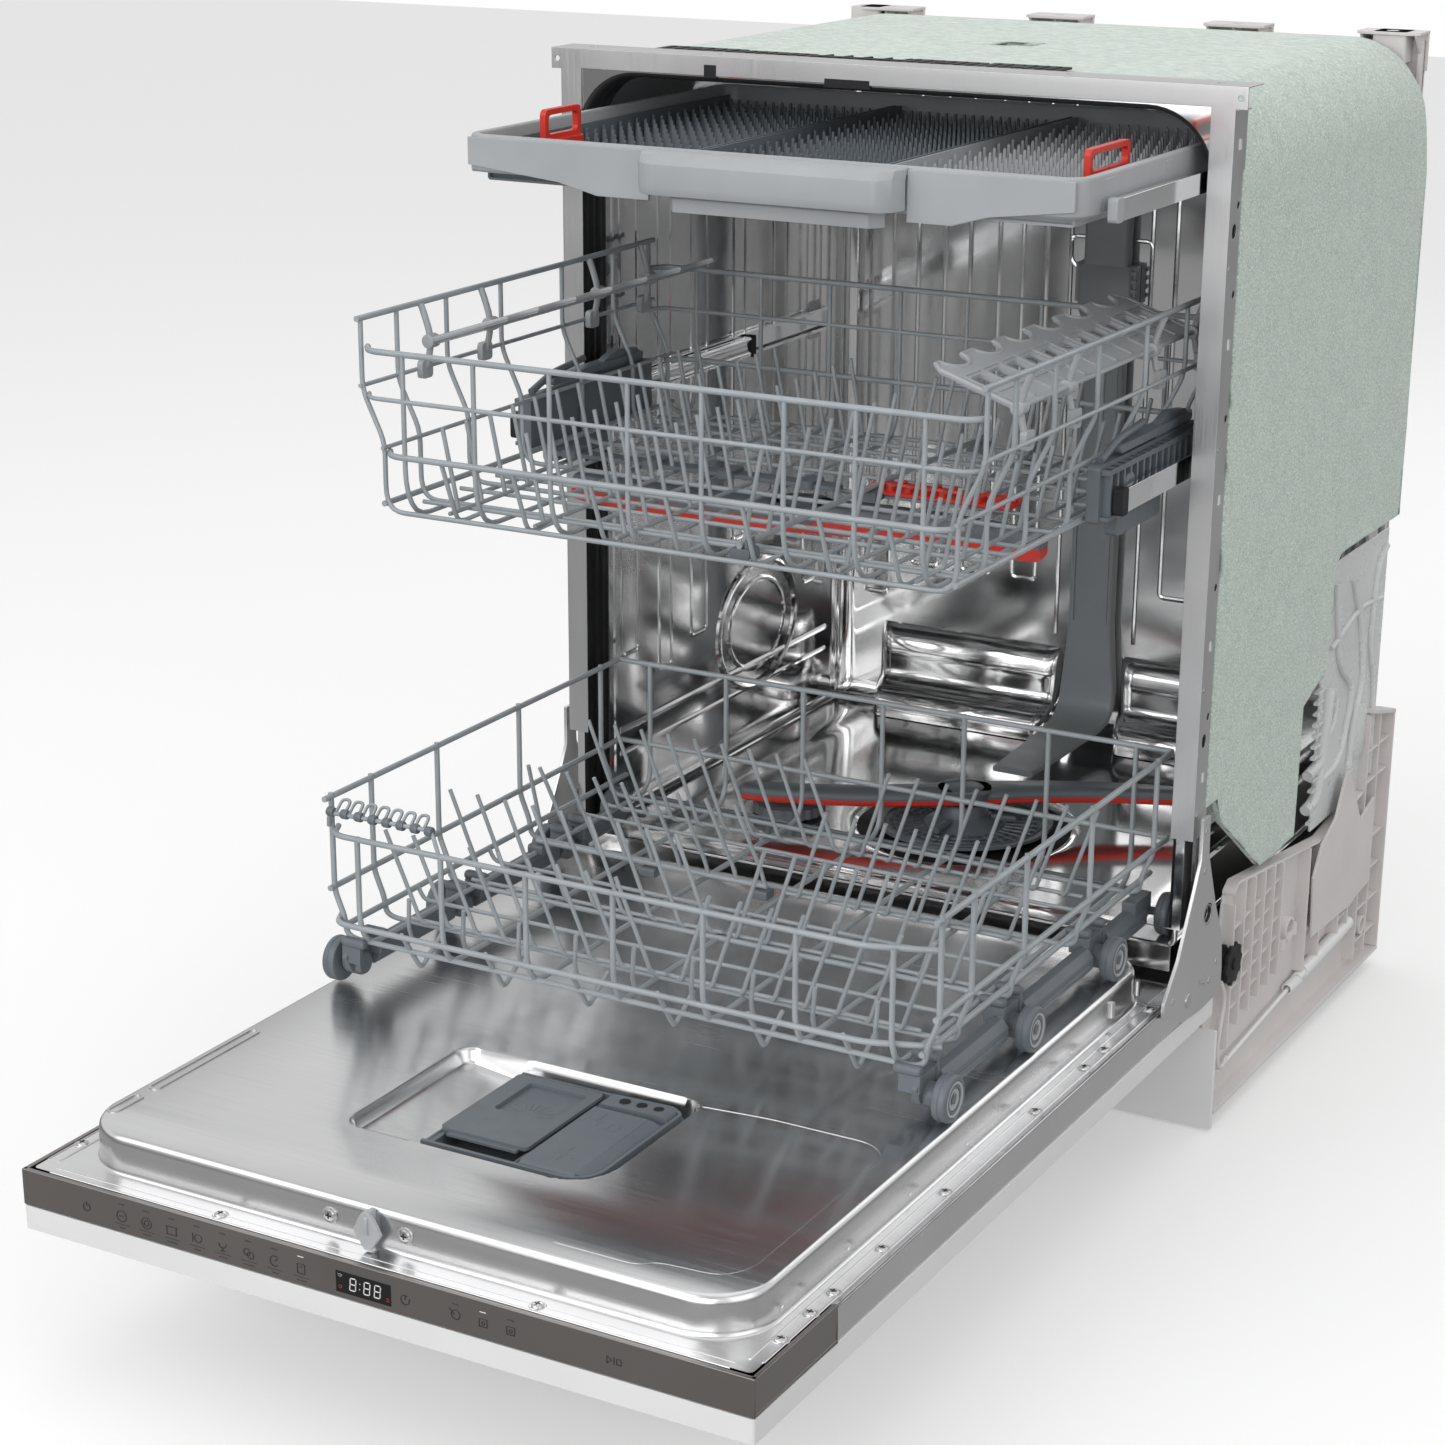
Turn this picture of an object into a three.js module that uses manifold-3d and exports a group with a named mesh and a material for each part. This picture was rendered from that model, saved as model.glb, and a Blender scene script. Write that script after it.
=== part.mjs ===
// Built-in dishwasher, door open, with two wire baskets and a cutlery tray pulled out.
// Millimetres, +Z up, +X to the right of a person facing the door, +Y into the kitchen unit.
// The origin is on the floor, at the middle of the whole object's width and length.
import * as THREE from 'three';
import { mergeVertices } from 'three/addons/utils/BufferGeometryUtils.js';
import Module from 'manifold-3d';

const wasm = await Module();
wasm.setup();

// ---- driving dimensions -------------------------------------------------------------------
const WIDTH = 598;                    // steel front frame
const HEIGHT = 860;                   // floor to the top of the front frame
const DOOR_REACH = 720;               // open door, in front of the frame
const BACK_DEPTH = 505;               // frame to the back of the base
const FRONT_Y = (DOOR_REACH - BACK_DEPTH) / 2;
const HALF = WIDTH / 2;
const GAP = 0.4;                      // between pieces that touch
const SHEET = 1.5;                    // steel sheet with its folded edges

const TUB_HALF = 274;                 // inside half width of the tub
const TUB_TOP = 842;
const TUB_BACK = 486;
const TUB_FRONT = 16;
const TUB_CORNER = 55;
const RUN_Z = 184;                    // surface that the basket wheels roll on

const DOOR_HALF = 293;
const DOOR_BOTTOM_Z = 108;            // outer face of the open door
const DOOR_PANEL_Z = 126.6;
const FLANGE_Z = 154.5;               // inner flange of the open door
const DOOR_TAIL = 62;                 // part of the door below its pivot
const STRIP_DEPTH = 112;
const RAISED_HALF = 269;
const RAISED_FRONT = -692;
const RAISED_BACK = -20;

const WHEEL_R = 17.7;
const WHEEL_W = 12;
const WHEEL_X = 261;
const WHEEL_Z = RUN_Z + 0.3 + WHEEL_R;
const WHEEL_YS = [-383, -242, -84, 28];
const LOWER = { half: 258, front: -404, back: 32, top: 338, mid: 265, floor: 226 };
const UPPER = { half: 254, waist: 235, front: -345, back: 88, top: 695, floor: 552 };
const TRAY = { half: 256, front: -195, back: 212, bottom: 772, top: 814 };
const LOWER_ARM = { y: 200, z: 208, reach: 200, turn: 27.6 };
const UPPER_ARM = { y: -120, z: 527, reach: 205, turn: 0 };
const DUCT_HALF = 22;                 // water duct at the middle of the tub's back
const SHELF_TILT = 18;                // cup shelves rise towards the middle, in degrees
const RAIL_Z = 573;                   // middle of the upper basket's runners
const TRAY_RAIL_Z = 789;

// ---- colours and finishes -----------------------------------------------------------------
const look = (color, roughness, metalness) =>
  new THREE.MeshStandardMaterial({ color, roughness, metalness });
const STEEL = look(0xc8c9ca, 0.22, 1.0);
const FRAME_STEEL = look(0x9a9b9c, 0.35, 0.9);
const CHROME = look(0xe6e8ea, 0.08, 1.0);
const STRIP_STEEL = look(0x6a6460, 0.35, 0.8);
const WHITE_PAINT = look(0xe4e4e3, 0.45, 0.0);
const FELT = look(0xafbeb2, 0.95, 0.0);
const BASE_PLASTIC = look(0xcdc5c2, 0.6, 0.0);
const CLEAR_PLASTIC = look(0xd8dcdc, 0.3, 0.0);
const DARK_PLASTIC = look(0x5a636b, 0.5, 0.0);
const GREY_PLASTIC = look(0xa9acae, 0.5, 0.0);
const WIRE = look(0x8c9297, 0.4, 0.2);
const RED = look(0xc63020, 0.4, 0.0);
const RUBBER = look(0x1a1a1b, 0.7, 0.0);
const IRON = look(0x55585a, 0.7, 0.6);

// ---- solids -------------------------------------------------------------------------------
function solid(geometry) {
  const bare = geometry.index ? geometry.clone() : geometry;
  bare.deleteAttribute('normal');
  bare.deleteAttribute('uv');
  const merged = mergeVertices(bare, 1e-4);
  return new wasm.Manifold(new wasm.Mesh({
    numProp: 3,
    vertProperties: new Float32Array(merged.attributes.position.array),
    triVerts: new Uint32Array(merged.index.array),
  }));
}

function geometryOf(body) {
  const mesh = body.getMesh();
  const geometry = new THREE.BufferGeometry();
  geometry.setAttribute('position', new THREE.BufferAttribute(mesh.vertProperties, 3));
  geometry.setIndex(new THREE.BufferAttribute(mesh.triVerts, 1));
  geometry.computeVertexNormals();
  return geometry;
}

const join = (bodies) => bodies.reduce((whole, body) => whole.add(body));
const cut = (body, tools) => tools.reduce((rest, tool) => rest.subtract(tool), body);

// A block between two corners.
function block(x0, x1, y0, y1, z0, z1) {
  const geometry = new THREE.BoxGeometry(x1 - x0, y1 - y0, z1 - z0);
  geometry.translate((x0 + x1) / 2, (y0 + y1) / 2, (z0 + z1) / 2);
  return solid(geometry);
}

// A straight rod from a to b.
function rod(a, b, r, sides = 4) {
  const from = new THREE.Vector3(...a);
  const to = new THREE.Vector3(...b);
  const along = to.clone().sub(from);
  const geometry = new THREE.CylinderGeometry(r, r, along.length(), sides);
  const up = new THREE.Vector3(0, 1, 0);
  geometry.applyQuaternion(new THREE.Quaternion().setFromUnitVectors(up, along.normalize()));
  geometry.translate(...from.add(to).multiplyScalar(0.5).toArray());
  return solid(geometry);
}

// Rods end to end through a list of points, each a little long so that they join.
function wire(points, r) {
  const rods = [];
  for (let i = 1; i < points.length; i += 1) {
    const a = new THREE.Vector3(...points[i - 1]);
    const b = new THREE.Vector3(...points[i]);
    const step = b.clone().sub(a).normalize().multiplyScalar(r * 0.6);
    rods.push(rod(a.sub(step).toArray(), b.add(step).toArray(), r));
  }
  return join(rods);
}

// A flat outline of [u, v] points pushed along X, Y or Z from "from" to "to".
function prism(outline, axis, from, to) {
  const shape = Array.isArray(outline)
    ? new THREE.Shape(outline.map((point) => new THREE.Vector2(...point)))
    : outline;
  const settings = { depth: to - from, bevelEnabled: false, curveSegments: 6 };
  const geometry = new THREE.ExtrudeGeometry(shape, settings);
  const basis = new THREE.Matrix4();
  if (axis === 'x') basis.set(0, 0, 1, from, 1, 0, 0, 0, 0, 1, 0, 0, 0, 0, 0, 1);
  if (axis === 'y') basis.set(-1, 0, 0, 0, 0, 0, 1, from, 0, 1, 0, 0, 0, 0, 0, 1);
  if (axis === 'z') basis.set(1, 0, 0, 0, 0, 1, 0, 0, 0, 0, 1, from, 0, 0, 0, 1);
  geometry.applyMatrix4(basis);
  return solid(geometry);
}

// A rectangle with round corners, centred on x = 0.
function roundedRect(half, v0, v1, r) {
  const shape = new THREE.Shape();
  shape.moveTo(-half + r, v0);
  shape.lineTo(half - r, v0);
  shape.absarc(half - r, v0 + r, r, -Math.PI / 2, 0, false);
  shape.lineTo(half, v1 - r);
  shape.absarc(half - r, v1 - r, r, 0, Math.PI / 2, false);
  shape.lineTo(-half + r, v1);
  shape.absarc(-half + r, v1 - r, r, Math.PI / 2, Math.PI, false);
  shape.lineTo(-half, v0 + r);
  shape.absarc(-half + r, v0 + r, r, Math.PI, Math.PI * 1.5, false);
  return shape;
}

// An arch: straight sides, rounded top corners, open at the bottom.
function arch(half, bottom, top, r) {
  const shape = new THREE.Shape();
  shape.moveTo(-half, bottom);
  shape.lineTo(half, bottom);
  shape.lineTo(half, top - r);
  shape.absarc(half - r, top - r, r, 0, Math.PI / 2, false);
  shape.lineTo(-half + r, top);
  shape.absarc(-half + r, top - r, r, Math.PI / 2, Math.PI, false);
  shape.lineTo(-half, bottom);
  return shape;
}

function disc(centre, axis, r, length, sides = 20) {
  const geometry = new THREE.CylinderGeometry(r, r, length, sides);
  if (axis === 'x') geometry.rotateZ(Math.PI / 2);
  if (axis === 'z') geometry.rotateX(Math.PI / 2);
  geometry.translate(...centre);
  return solid(geometry);
}

const mirrorX = (body) => body.mirror([1, 0, 0]);

// ---- the object ---------------------------------------------------------------------------
const machine = new THREE.Group();
machine.position.set(0, FRONT_Y, 0);

function put(name, body, material, pivot = [0, 0, 0]) {
  const geometry = geometryOf(body);
  geometry.translate(-pivot[0], -pivot[1], -pivot[2]);
  const mesh = new THREE.Mesh(geometry, material);
  mesh.name = name;
  mesh.position.set(...pivot);
  machine.add(mesh);
}

// The same piece on the left and on the right; it is drawn on the right.
function putPair(name, body, material) {
  put(`${name}_right`, body, material);
  put(`${name}_left`, mirrorX(body), material);
}

// ---- tub, frame and insulation ------------------------------------------------------------
function tub() {
  const outerHalf = TUB_HALF + SHEET;
  const bottom = RUN_Z + GAP;
  const outside = arch(outerHalf, bottom, TUB_TOP + SHEET, TUB_CORNER);
  const inside = arch(TUB_HALF, bottom - 1, TUB_TOP, TUB_CORNER - SHEET);
  const outer = prism(outside, 'y', TUB_FRONT, TUB_BACK + SHEET);
  const hollow = prism(inside, 'y', TUB_FRONT - 1, TUB_BACK);
  put('tub_shell', outer.subtract(hollow), STEEL);

  const sumpR = 88;
  const plate = block(-outerHalf, outerHalf, 4, TUB_BACK + SHEET, RUN_Z - 5, RUN_Z);
  const basin = block(-215, 215, 40, 440, RUN_Z - 3.5, RUN_Z + 1);
  const lip = block(-outerHalf, outerHalf, 4, 7, 160, RUN_Z - 5);
  const well = disc([0, LOWER_ARM.y, RUN_Z], 'z', sumpR, 40, 24);
  put('tub_floor', cut(plate.add(lip), [basin, well]), STEEL);
}

function frontFrame() {
  const strip = prism(arch(HALF, 277, HEIGHT, 1.2), 'y', 0, SHEET);
  const opening = prism(arch(281, 276, 846, TUB_CORNER), 'y', -1, SHEET + 1);
  const flange = block(HALF - 1.6, HALF, 1, 46, 277, HEIGHT - 6);
  const topFlange = block(-HALF + 2, HALF - 2, 1, 34, HEIGHT - 2, HEIGHT);
  const slots = [330, 520, 700].map((z) => block(HALF - 3, HALF + 1, 20, 28, z, z + 9));
  const side = cut(flange, slots);
  put('front_frame', join([strip.subtract(opening), side, mirrorX(side), topFlange]), FRAME_STEEL);

  const seal = prism(arch(280.4, RUN_Z + 8, 845.4, TUB_CORNER), 'y', 4, 15);
  const inside = prism(arch(271, RUN_Z + 7, 836, TUB_CORNER - 9), 'y', 3, 16);
  put('door_gasket', seal.subtract(inside), RUBBER);
}

function insulation() {
  const outer = prism(arch(291, 200, 856, 70), 'y', 48, 482);
  const hollow = prism(arch(278.5, 199, 846, 62), 'y', 47, 483);
  const profile = prism(
    [[48, 284], [161, 206], [246, 206], [240, 322], [302, 340], [298, 426], [322, 440],
      [482, 440], [482, 745], [462, 820], [462, 870], [48, 870]],
    'x', -300, 300,
  );
  const hatch = block(-20, 20, 232, 262, 840, 870);
  put('felt_cover', outer.subtract(hollow).intersect(profile).subtract(hatch), FELT);
}

// ---- base, back and what stands in the base -----------------------------------------------
function base() {
  const floor = block(-292, 292, 72, BACK_DEPTH - 6, 14, 18);
  const wall = block(276, 280, 72, BACK_DEPTH, 14, 172);
  const ledge = block(276, 296, 72, BACK_DEPTH, 166, 171);
  const rim = block(276, 296, 72, BACK_DEPTH - 10, 14, 19);
  const side = join([wall, ledge, rim]);
  const rear = block(-280, 280, BACK_DEPTH - 4, BACK_DEPTH, 14, 172);
  const front = block(-280, 280, 72, 76, 14, 60);
  const rearFoot = block(-150, 150, 440, 480, 0, 16);
  put('base_tray', join([floor, side, mirrorX(side), rear, front, rearFoot]), BASE_PLASTIC);

  const sheet = block(-270, 270, 492, 498, 178, 852);
  const bracketXs = [-230, -60, 110, 250];
  const hooks = bracketXs.map((x) => block(x - 28, x + 28, 468, 499, 858, HEIGHT));
  const posts = bracketXs.map((x) => block(x - 28, x + 28, 492, 498, 850, HEIGHT));
  put('rear_panel', join([sheet, ...hooks, ...posts]), BASE_PLASTIC);

  const tank = prism([[310, 186], [478, 186], [478, 430], [322, 430], [312, 340]], 'x', 279, 289);
  put('water_tank', tank, CLEAR_PLASTIC);

  put('plinth_panel', block(-295, 295, 66, 70, 2, 91), WHITE_PAINT);
  const stem = disc([230, 100, 9], 'z', 7, 9.2, 8);
  const pad = disc([230, 100, 3], 'z', 19, 6, 16);
  putPair('foot_front', stem.add(pad), DARK_PLASTIC);
  put('ballast_weight', block(-170, 170, 430, 485, 19, 110), IRON);

  const motor = disc([70, 300, 75], 'x', 42, 130, 16);
  const volute = disc([-20, 300, 75], 'x', 52, 60, 16);
  const drain = block(-140, -40, 270, 330, 30, 90);
  const saddle = block(-30, 120, 285, 315, 18.5, 60);
  put('wash_pump', join([motor, volute, drain, saddle]), DARK_PLASTIC);
}

function hinges() {
  const plate = prism(
    [[3, 296], [17, 296], [19, 262], [40, 215], [60, 178], [64, 150], [64, 130],
      [20, 128], [-20, 132], [-62, 150], [-62, 163], [-36, 190], [-8, 240], [3, 262]],
    'x', 294, 297,
  );
  const hole = disc([295, 24, 210], 'x', 8, 12, 12);
  const tab = block(276.2 + SHEET, 295, 30, 46, 176, 180);
  putPair('hinge_plate', plate.subtract(hole).add(tab), STEEL);

  const sleeve = rod([288, 290, 58], [288, 430, 66], 6.5, 8);
  const pull = rod([288, 96, 46], [288, 292, 58], 2, 5);
  putPair('balance_spring', sleeve.add(pull), WHITE_PAINT);
}

// ---- things on and in the tub -------------------------------------------------------------
function tubFittings() {
  const moduleTop = HEIGHT - 0.3;
  const leftCase = block(-225, -85, 40, 70, 857, moduleTop);
  const bridge = block(-90, 60, 50, 60, 857, moduleTop);
  const rightCase = block(0, 130, 40, 74, 857, moduleTop);
  put('control_module', join([leftCase, bridge, rightCase]), DARK_PLASTIC);

  const column = block(-DUCT_HALF, DUCT_HALF, TUB_BACK - 16, TUB_BACK - GAP, 262, 822);
  const foot = prism([[470, 264], [485.6, 264], [485.6, 238], [474, 210], [440, 198], [300, 195],
    [300, 200], [404, 201], [438, 205], [462, 214], [469, 228]], 'x', -DUCT_HALF, DUCT_HALF);
  const dock = block(-DUCT_HALF - 5, DUCT_HALF + 5, TUB_BACK - 18, TUB_BACK - 12, 600, 650);
  put('water_duct', join([column, foot, dock]), DARK_PLASTIC);

  const cup = disc([0, LOWER_ARM.y, 184], 'z', 80, 18, 24);
  const well = disc([0, LOWER_ARM.y, 165], 'z', 60, 60, 20);
  const hub = disc([0, LOWER_ARM.y, 194], 'z', 22, 14, 16);
  put('filter_sump', join([cup, well, hub]), DARK_PLASTIC);

  const cap = disc([-150, 150, 188], 'z', 34, 13, 20);
  const grip = block(-178, -122, 146, 154, 190, 198);
  put('salt_cap', cap.add(grip), GREY_PLASTIC);

  const web = block(266, TUB_HALF - GAP, 20, 440, RAIL_Z - 13, RAIL_Z + 13);
  putPair('upper_rail', web, CHROME);
}

// A two-winged spray arm that turns about its middle, shown at arm.turn degrees from +X.
function sprayArm(name, hubX, arm, hubTop) {
  const wing = prism([[0, -21], [arm.reach * 0.5, -17], [arm.reach - 8, -9], [arm.reach, 0],
    [arm.reach - 8, 9], [arm.reach * 0.5, 17], [0, 21]], 'z', arm.z - 5, arm.z + 5);
  const hub = disc([0, 0, (arm.z - 6 + hubTop) / 2], 'z', 20, hubTop - arm.z + 6, 16);
  const arms = join([wing, wing.rotate([0, 0, 180]), hub]).rotate([0, 0, arm.turn]);
  const whole = arms.translate([hubX, arm.y, 0]);
  put(name, whole, DARK_PLASTIC, [hubX, arm.y, arm.z]);
}

// ---- door ---------------------------------------------------------------------------------
function door() {
  const edge = 3;
  const stripBack = -DOOR_REACH + STRIP_DEPTH;
  const shell = block(-DOOR_HALF, DOOR_HALF, -DOOR_REACH, DOOR_TAIL, DOOR_BOTTOM_Z, DOOR_PANEL_Z);
  const innerHalf = DOOR_HALF - edge;
  const inner = block(-innerHalf, innerHalf, -DOOR_REACH + edge, DOOR_TAIL - edge,
    DOOR_BOTTOM_Z + 2.5, DOOR_PANEL_Z + 1);
  const panel = shell.subtract(inner);
  const wallTop = 152.6;
  const sideWall = block(innerHalf, DOOR_HALF, stripBack + GAP, -4, DOOR_PANEL_Z - 1, wallTop);
  const endWall = block(-DOOR_HALF, DOOR_HALF, -7, -4, DOOR_BOTTOM_Z + 1, wallTop);
  put('door_outer_panel', join([panel, sideWall, mirrorX(sideWall), endWall]), WHITE_PAINT);

  const stripBlock = block(-DOOR_HALF, DOOR_HALF, -DOOR_REACH, stripBack, DOOR_PANEL_Z + GAP, FLANGE_Z);
  const stripHollow = block(-DOOR_HALF + 5, DOOR_HALF - 5, -DOOR_REACH + 6, stripBack + 1,
    DOOR_PANEL_Z + 3, FLANGE_Z + 1);
  put('control_strip', stripBlock.subtract(stripHollow), STRIP_STEEL);

  const flange = block(-DOOR_HALF + 5.5, DOOR_HALF - 5.5, -DOOR_REACH + 6.5, -4, 153, FLANGE_Z);
  const top = RUN_Z - GAP;
  const outline = roundedRect(RAISED_HALF, RAISED_FRONT, RAISED_BACK, 45);
  const inset = roundedRect(RAISED_HALF - SHEET, RAISED_FRONT + SHEET, RAISED_BACK - SHEET, 42);
  const raised = prism(outline, 'z', 153.5, top);
  const under = prism(inset, 'z', 152, top - SHEET);
  const pocket = block(-104, 96, -593, -440, 155, 190);
  const pan = block(-107, 99, -596, -437, 155, RUN_Z - 1);
  const panHollow = block(-104, 96, -593, -440, 157.5, 190);
  const liner = cut(flange.add(raised), [under, pocket]).add(pan.subtract(panHollow));
  put('door_liner', liner, STEEL);

  const housing = block(-52, 92, -587, -452, 157.9, 176);
  const cup = block(-40, 20, -575, -475, 161, 177);
  put('dispenser_housing', housing.subtract(cup), DARK_PLASTIC);
  const lid = block(-47, 27, -582, -458, 176.4, 181.5);
  const rim = block(-40, 20, -520, -466, 180, 182);
  put('detergent_lid', lid.subtract(rim), DARK_PLASTIC);
  const flap = block(31, 88, -582, -480, 176.4, 182);
  const dial = disc([60, -500, 181.8], 'z', 12, 1.6, 12);
  put('rinse_lid', flap.subtract(dial), DARK_PLASTIC, [60, -480, 177]);
}

// ---- baskets ------------------------------------------------------------------------------
const THICK = 2.2;                    // wire radii
const THIN = 1.7;

// Evenly spaced numbers, both ends included.
function range(from, to, count) {
  const step = (to - from) / (count - 1);
  return Array.from({ length: count }, (_, i) => from + step * i);
}

function lowerBasket() {
  const { half, front, back, top, mid, floor } = LOWER;
  const sideRails = [top, mid].map((z) => rod([half, front + 6, z], [half, back - 6, z], THICK));
  const sidePosts = range(front + 14, back - 14, 5).map((y) =>
    wire([[half, y, top + 1], [half, y, mid - 12], [248, y, floor - 6], [248, y, WHEEL_Z + 8]], THIN));
  const bar = block(236, 252, front + 6, back - 6, WHEEL_Z - 8, WHEEL_Z + 12);
  const axleGap = disc([245, WHEEL_YS[3], WHEEL_Z], 'x', 5, 30, 8);
  putPair('lower_basket_side', join([...sideRails, ...sidePosts, bar]).subtract(axleGap), WIRE);

  for (const [name, y, tall, low] of [['front', front, 312, 240], ['back', back, top, mid]]) {
    const rails = [tall, low].map((z) => rod([-half, y, z], [half, y, z], THICK));
    const postXs = range(-half + 8, half - 8, 7);
    const posts = postXs.map((x) => rod([x, y, floor + 3], [x, y, tall + 1], THIN));
    put(`lower_basket_${name}`, join([...rails, ...posts]), WIRE);
  }

  const longZ = floor - 3;
  const crossZ = floor - 1;
  const long = [-232, -120, 0, 120, 232].map((x) =>
    rod([x, front + 4, longZ], [x, back - 4, longZ], THICK));
  const cross = range(front + 8, back - 8, 9).map((y) =>
    rod([-243, y, crossZ], [243, y, crossZ], THIN));
  put('lower_basket_floor', join([...long, ...cross]), WIRE);

  const rearY = WHEEL_YS[3];
  const bridgeZ = LOWER_ARM.z + 9.8;
  const bridge = wire([[231, rearY, WHEEL_Z], [231, rearY, bridgeZ], [0, rearY, bridgeZ]], 1.2);
  const halfAxle = rod([229, rearY, WHEEL_Z], [254.4, rearY, WHEEL_Z], 3, 8).add(bridge);
  put('rear_axle', halfAxle.add(mirrorX(halfAxle)), DARK_PLASTIC);

  const places = ['front', 'second', 'third', 'rear'];
  for (const [sideName, sign] of [['left', -1], ['right', 1]]) {
    WHEEL_YS.forEach((y, i) => {
      const centre = [sign * WHEEL_X, y, WHEEL_Z];
      const rim = disc(centre, 'x', WHEEL_R, WHEEL_W, 20);
      const recess = disc([sign * (WHEEL_X + WHEEL_W / 2), y, WHEEL_Z], 'x', WHEEL_R - 6, 5, 12);
      put(`wheel_${places[i]}_${sideName}`, rim.subtract(recess), DARK_PLASTIC, centre);
    });
  }

  const combY = -150;
  const combZ = floor + 6;
  const spine = rod([-228, combY, combZ], [-12, combY, combZ], THICK);
  const tines = range(-222, -18, 8).map((x) =>
    wire([[x, combY, combZ], [x + 6, combY - 30, combZ + 80]], THIN));
  put('lower_folding_tines', join([spine, ...tines]), WIRE, [0, combY, combZ]);
}

function upperBasket() {
  const { half, waist, front, back, top, floor } = UPPER;
  const rails = [rod([half, front + 6, top], [half, back - 6, top], THICK),
    rod([half, front + 6, 645], [half, back - 6, 645], THICK),
    rod([waist, front + 6, 600], [waist, back - 6, 600], THICK)];
  const posts = range(front + 14, back - 14, 6).map((y) =>
    wire([[half, y, top + 1], [half, y, 640], [waist, y, 604], [waist, y, floor + 5]], THIN));
  const mountPlate = block(235.4, 257.4, -130, 60, 556, 596);
  putPair('upper_basket_side', join([...rails, ...posts, mountPlate]), WIRE);

  for (const [name, y] of [['front', front], ['back', back]]) {
    const bars = [[673, half], [638, half], [596, waist]].map(([z, h]) =>
      rod([-h, y, z], [h, y, z], THICK));
    const uprights = range(-waist + 20, waist - 20, 6).map((x) =>
      rod([x, y, floor + 4], [x, y, 674], THIN));
    put(`upper_basket_${name}`, join([...bars, ...uprights]), WIRE);
  }

  const long = [-225, -110, 0, 110, 225].map((x) =>
    rod([x, front + 4, floor], [x, back - 4, floor], THICK));
  const cross = range(front + 8, back - 8, 9).map((y) =>
    rod([-230, y, floor + 1], [230, y, floor + 1], THIN));
  const armSocket = disc([0, UPPER_ARM.y, floor - 3], 'z', 18, 9, 12);
  put('upper_basket_floor', join([...long, ...cross, armSocket]), WIRE);

  const slide = block(258, 265.4, -122, 278, RAIL_Z - 10, RAIL_Z + 10);
  putPair('upper_slide', slide, CHROME);

  const hingeX = 246;
  const shelfZ = 666;
  const shelf = block(hingeX - 74, hingeX + 1, -270, 70, shelfZ - 2, shelfZ + 3);
  const notches = range(-240, 40, 6).map((y) => disc([hingeX - 74, y, shelfZ], 'z', 14, 20, 12));
  const flatShelf = cut(shelf, notches).translate([-hingeX, 0, -shelfZ]);
  const tilted = flatShelf.rotate([0, SHELF_TILT, 0]).translate([hingeX, 0, shelfZ]);
  put('cup_shelf_right', tilted, GREY_PLASTIC, [hingeX, -100, shelfZ]);
  put('cup_shelf_left', mirrorX(tilted), GREY_PLASTIC, [-hingeX, -100, shelfZ]);

  const combX = 60;
  const combZ = floor + 8;
  const spine = rod([combX, -326, combZ], [combX, 86, combZ], THICK);
  const tines = range(-320, 80, 10).map((y) =>
    wire([[combX, y, combZ], [combX + 14, y, combZ + 72]], THIN));
  put('upper_folding_tines', join([spine, ...tines]), WIRE, [combX, 0, combZ]);
}

function cutleryTray() {
  const { half, front, back, bottom, top } = TRAY;
  const outer = prism(roundedRect(half, front, back, 14), 'z', bottom, top);
  const hollow = prism(roundedRect(half - 5, front + 5, back - 5, 10), 'z', bottom + 5, top + 1);
  const grip = block(-105, 105, front - 30, front + 2, bottom - 8, top - 4);
  const grasp = block(-98, 98, front - 25, front - 4, bottom - 9, top - 12);
  put('cutlery_tray', outer.subtract(hollow).add(grip.subtract(grasp)), GREY_PLASTIC);

  const edge = 12;
  const bed = block(-half + edge, half - edge, front + edge, back - edge, bottom + 6, bottom + 10);
  const walls = [-80, 80].map((x) =>
    block(x - 2, x + 2, front + edge, back - edge, bottom + 7, top - 4));
  put('cutlery_insert', join([bed, ...walls]), DARK_PLASTIC);

  const rail = block(261, 268.6, -165, 235, TRAY_RAIL_Z - 9, TRAY_RAIL_Z + 9);
  putPair('tray_rail', rail, CHROME);
}

tub();
frontFrame();
insulation();
base();
hinges();
tubFittings();
sprayArm('lower_spray_arm', 0, LOWER_ARM, LOWER_ARM.z + 7);
door();
lowerBasket();
upperBasket();
sprayArm('upper_spray_arm', 0, UPPER_ARM, UPPER_ARM.z + 16.5);
cutleryTray();

export default machine;
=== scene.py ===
"""Looks of a built-in dishwasher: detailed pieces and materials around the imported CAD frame.

Sizes are in millimetres, +X to the right, +Z up. Y is counted from the front frame's plane,
inwards, and part() turns it all into metres in the frame that the CAD uses."""
import math

import bpy
import bmesh
from mathutils import Matrix, Vector
from mathutils.geometry import tessellate_polygon


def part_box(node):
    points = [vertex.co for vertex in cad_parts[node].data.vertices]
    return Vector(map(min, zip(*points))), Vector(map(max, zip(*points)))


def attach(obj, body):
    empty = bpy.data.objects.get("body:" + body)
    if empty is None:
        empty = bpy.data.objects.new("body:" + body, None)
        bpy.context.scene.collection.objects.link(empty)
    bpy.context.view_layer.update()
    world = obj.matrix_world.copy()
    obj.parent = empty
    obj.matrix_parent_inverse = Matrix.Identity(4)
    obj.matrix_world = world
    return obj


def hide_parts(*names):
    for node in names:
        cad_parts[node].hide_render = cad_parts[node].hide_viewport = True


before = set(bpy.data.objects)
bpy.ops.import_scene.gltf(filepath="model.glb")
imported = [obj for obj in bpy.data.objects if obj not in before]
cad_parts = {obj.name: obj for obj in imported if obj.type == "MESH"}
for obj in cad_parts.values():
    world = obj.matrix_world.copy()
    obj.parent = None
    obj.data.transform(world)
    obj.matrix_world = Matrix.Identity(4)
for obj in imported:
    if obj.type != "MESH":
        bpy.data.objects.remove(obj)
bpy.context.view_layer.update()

MM = 0.001
SIDES = (("right", 1), ("left", -1))
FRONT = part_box("front_frame")[0].y / MM


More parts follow.
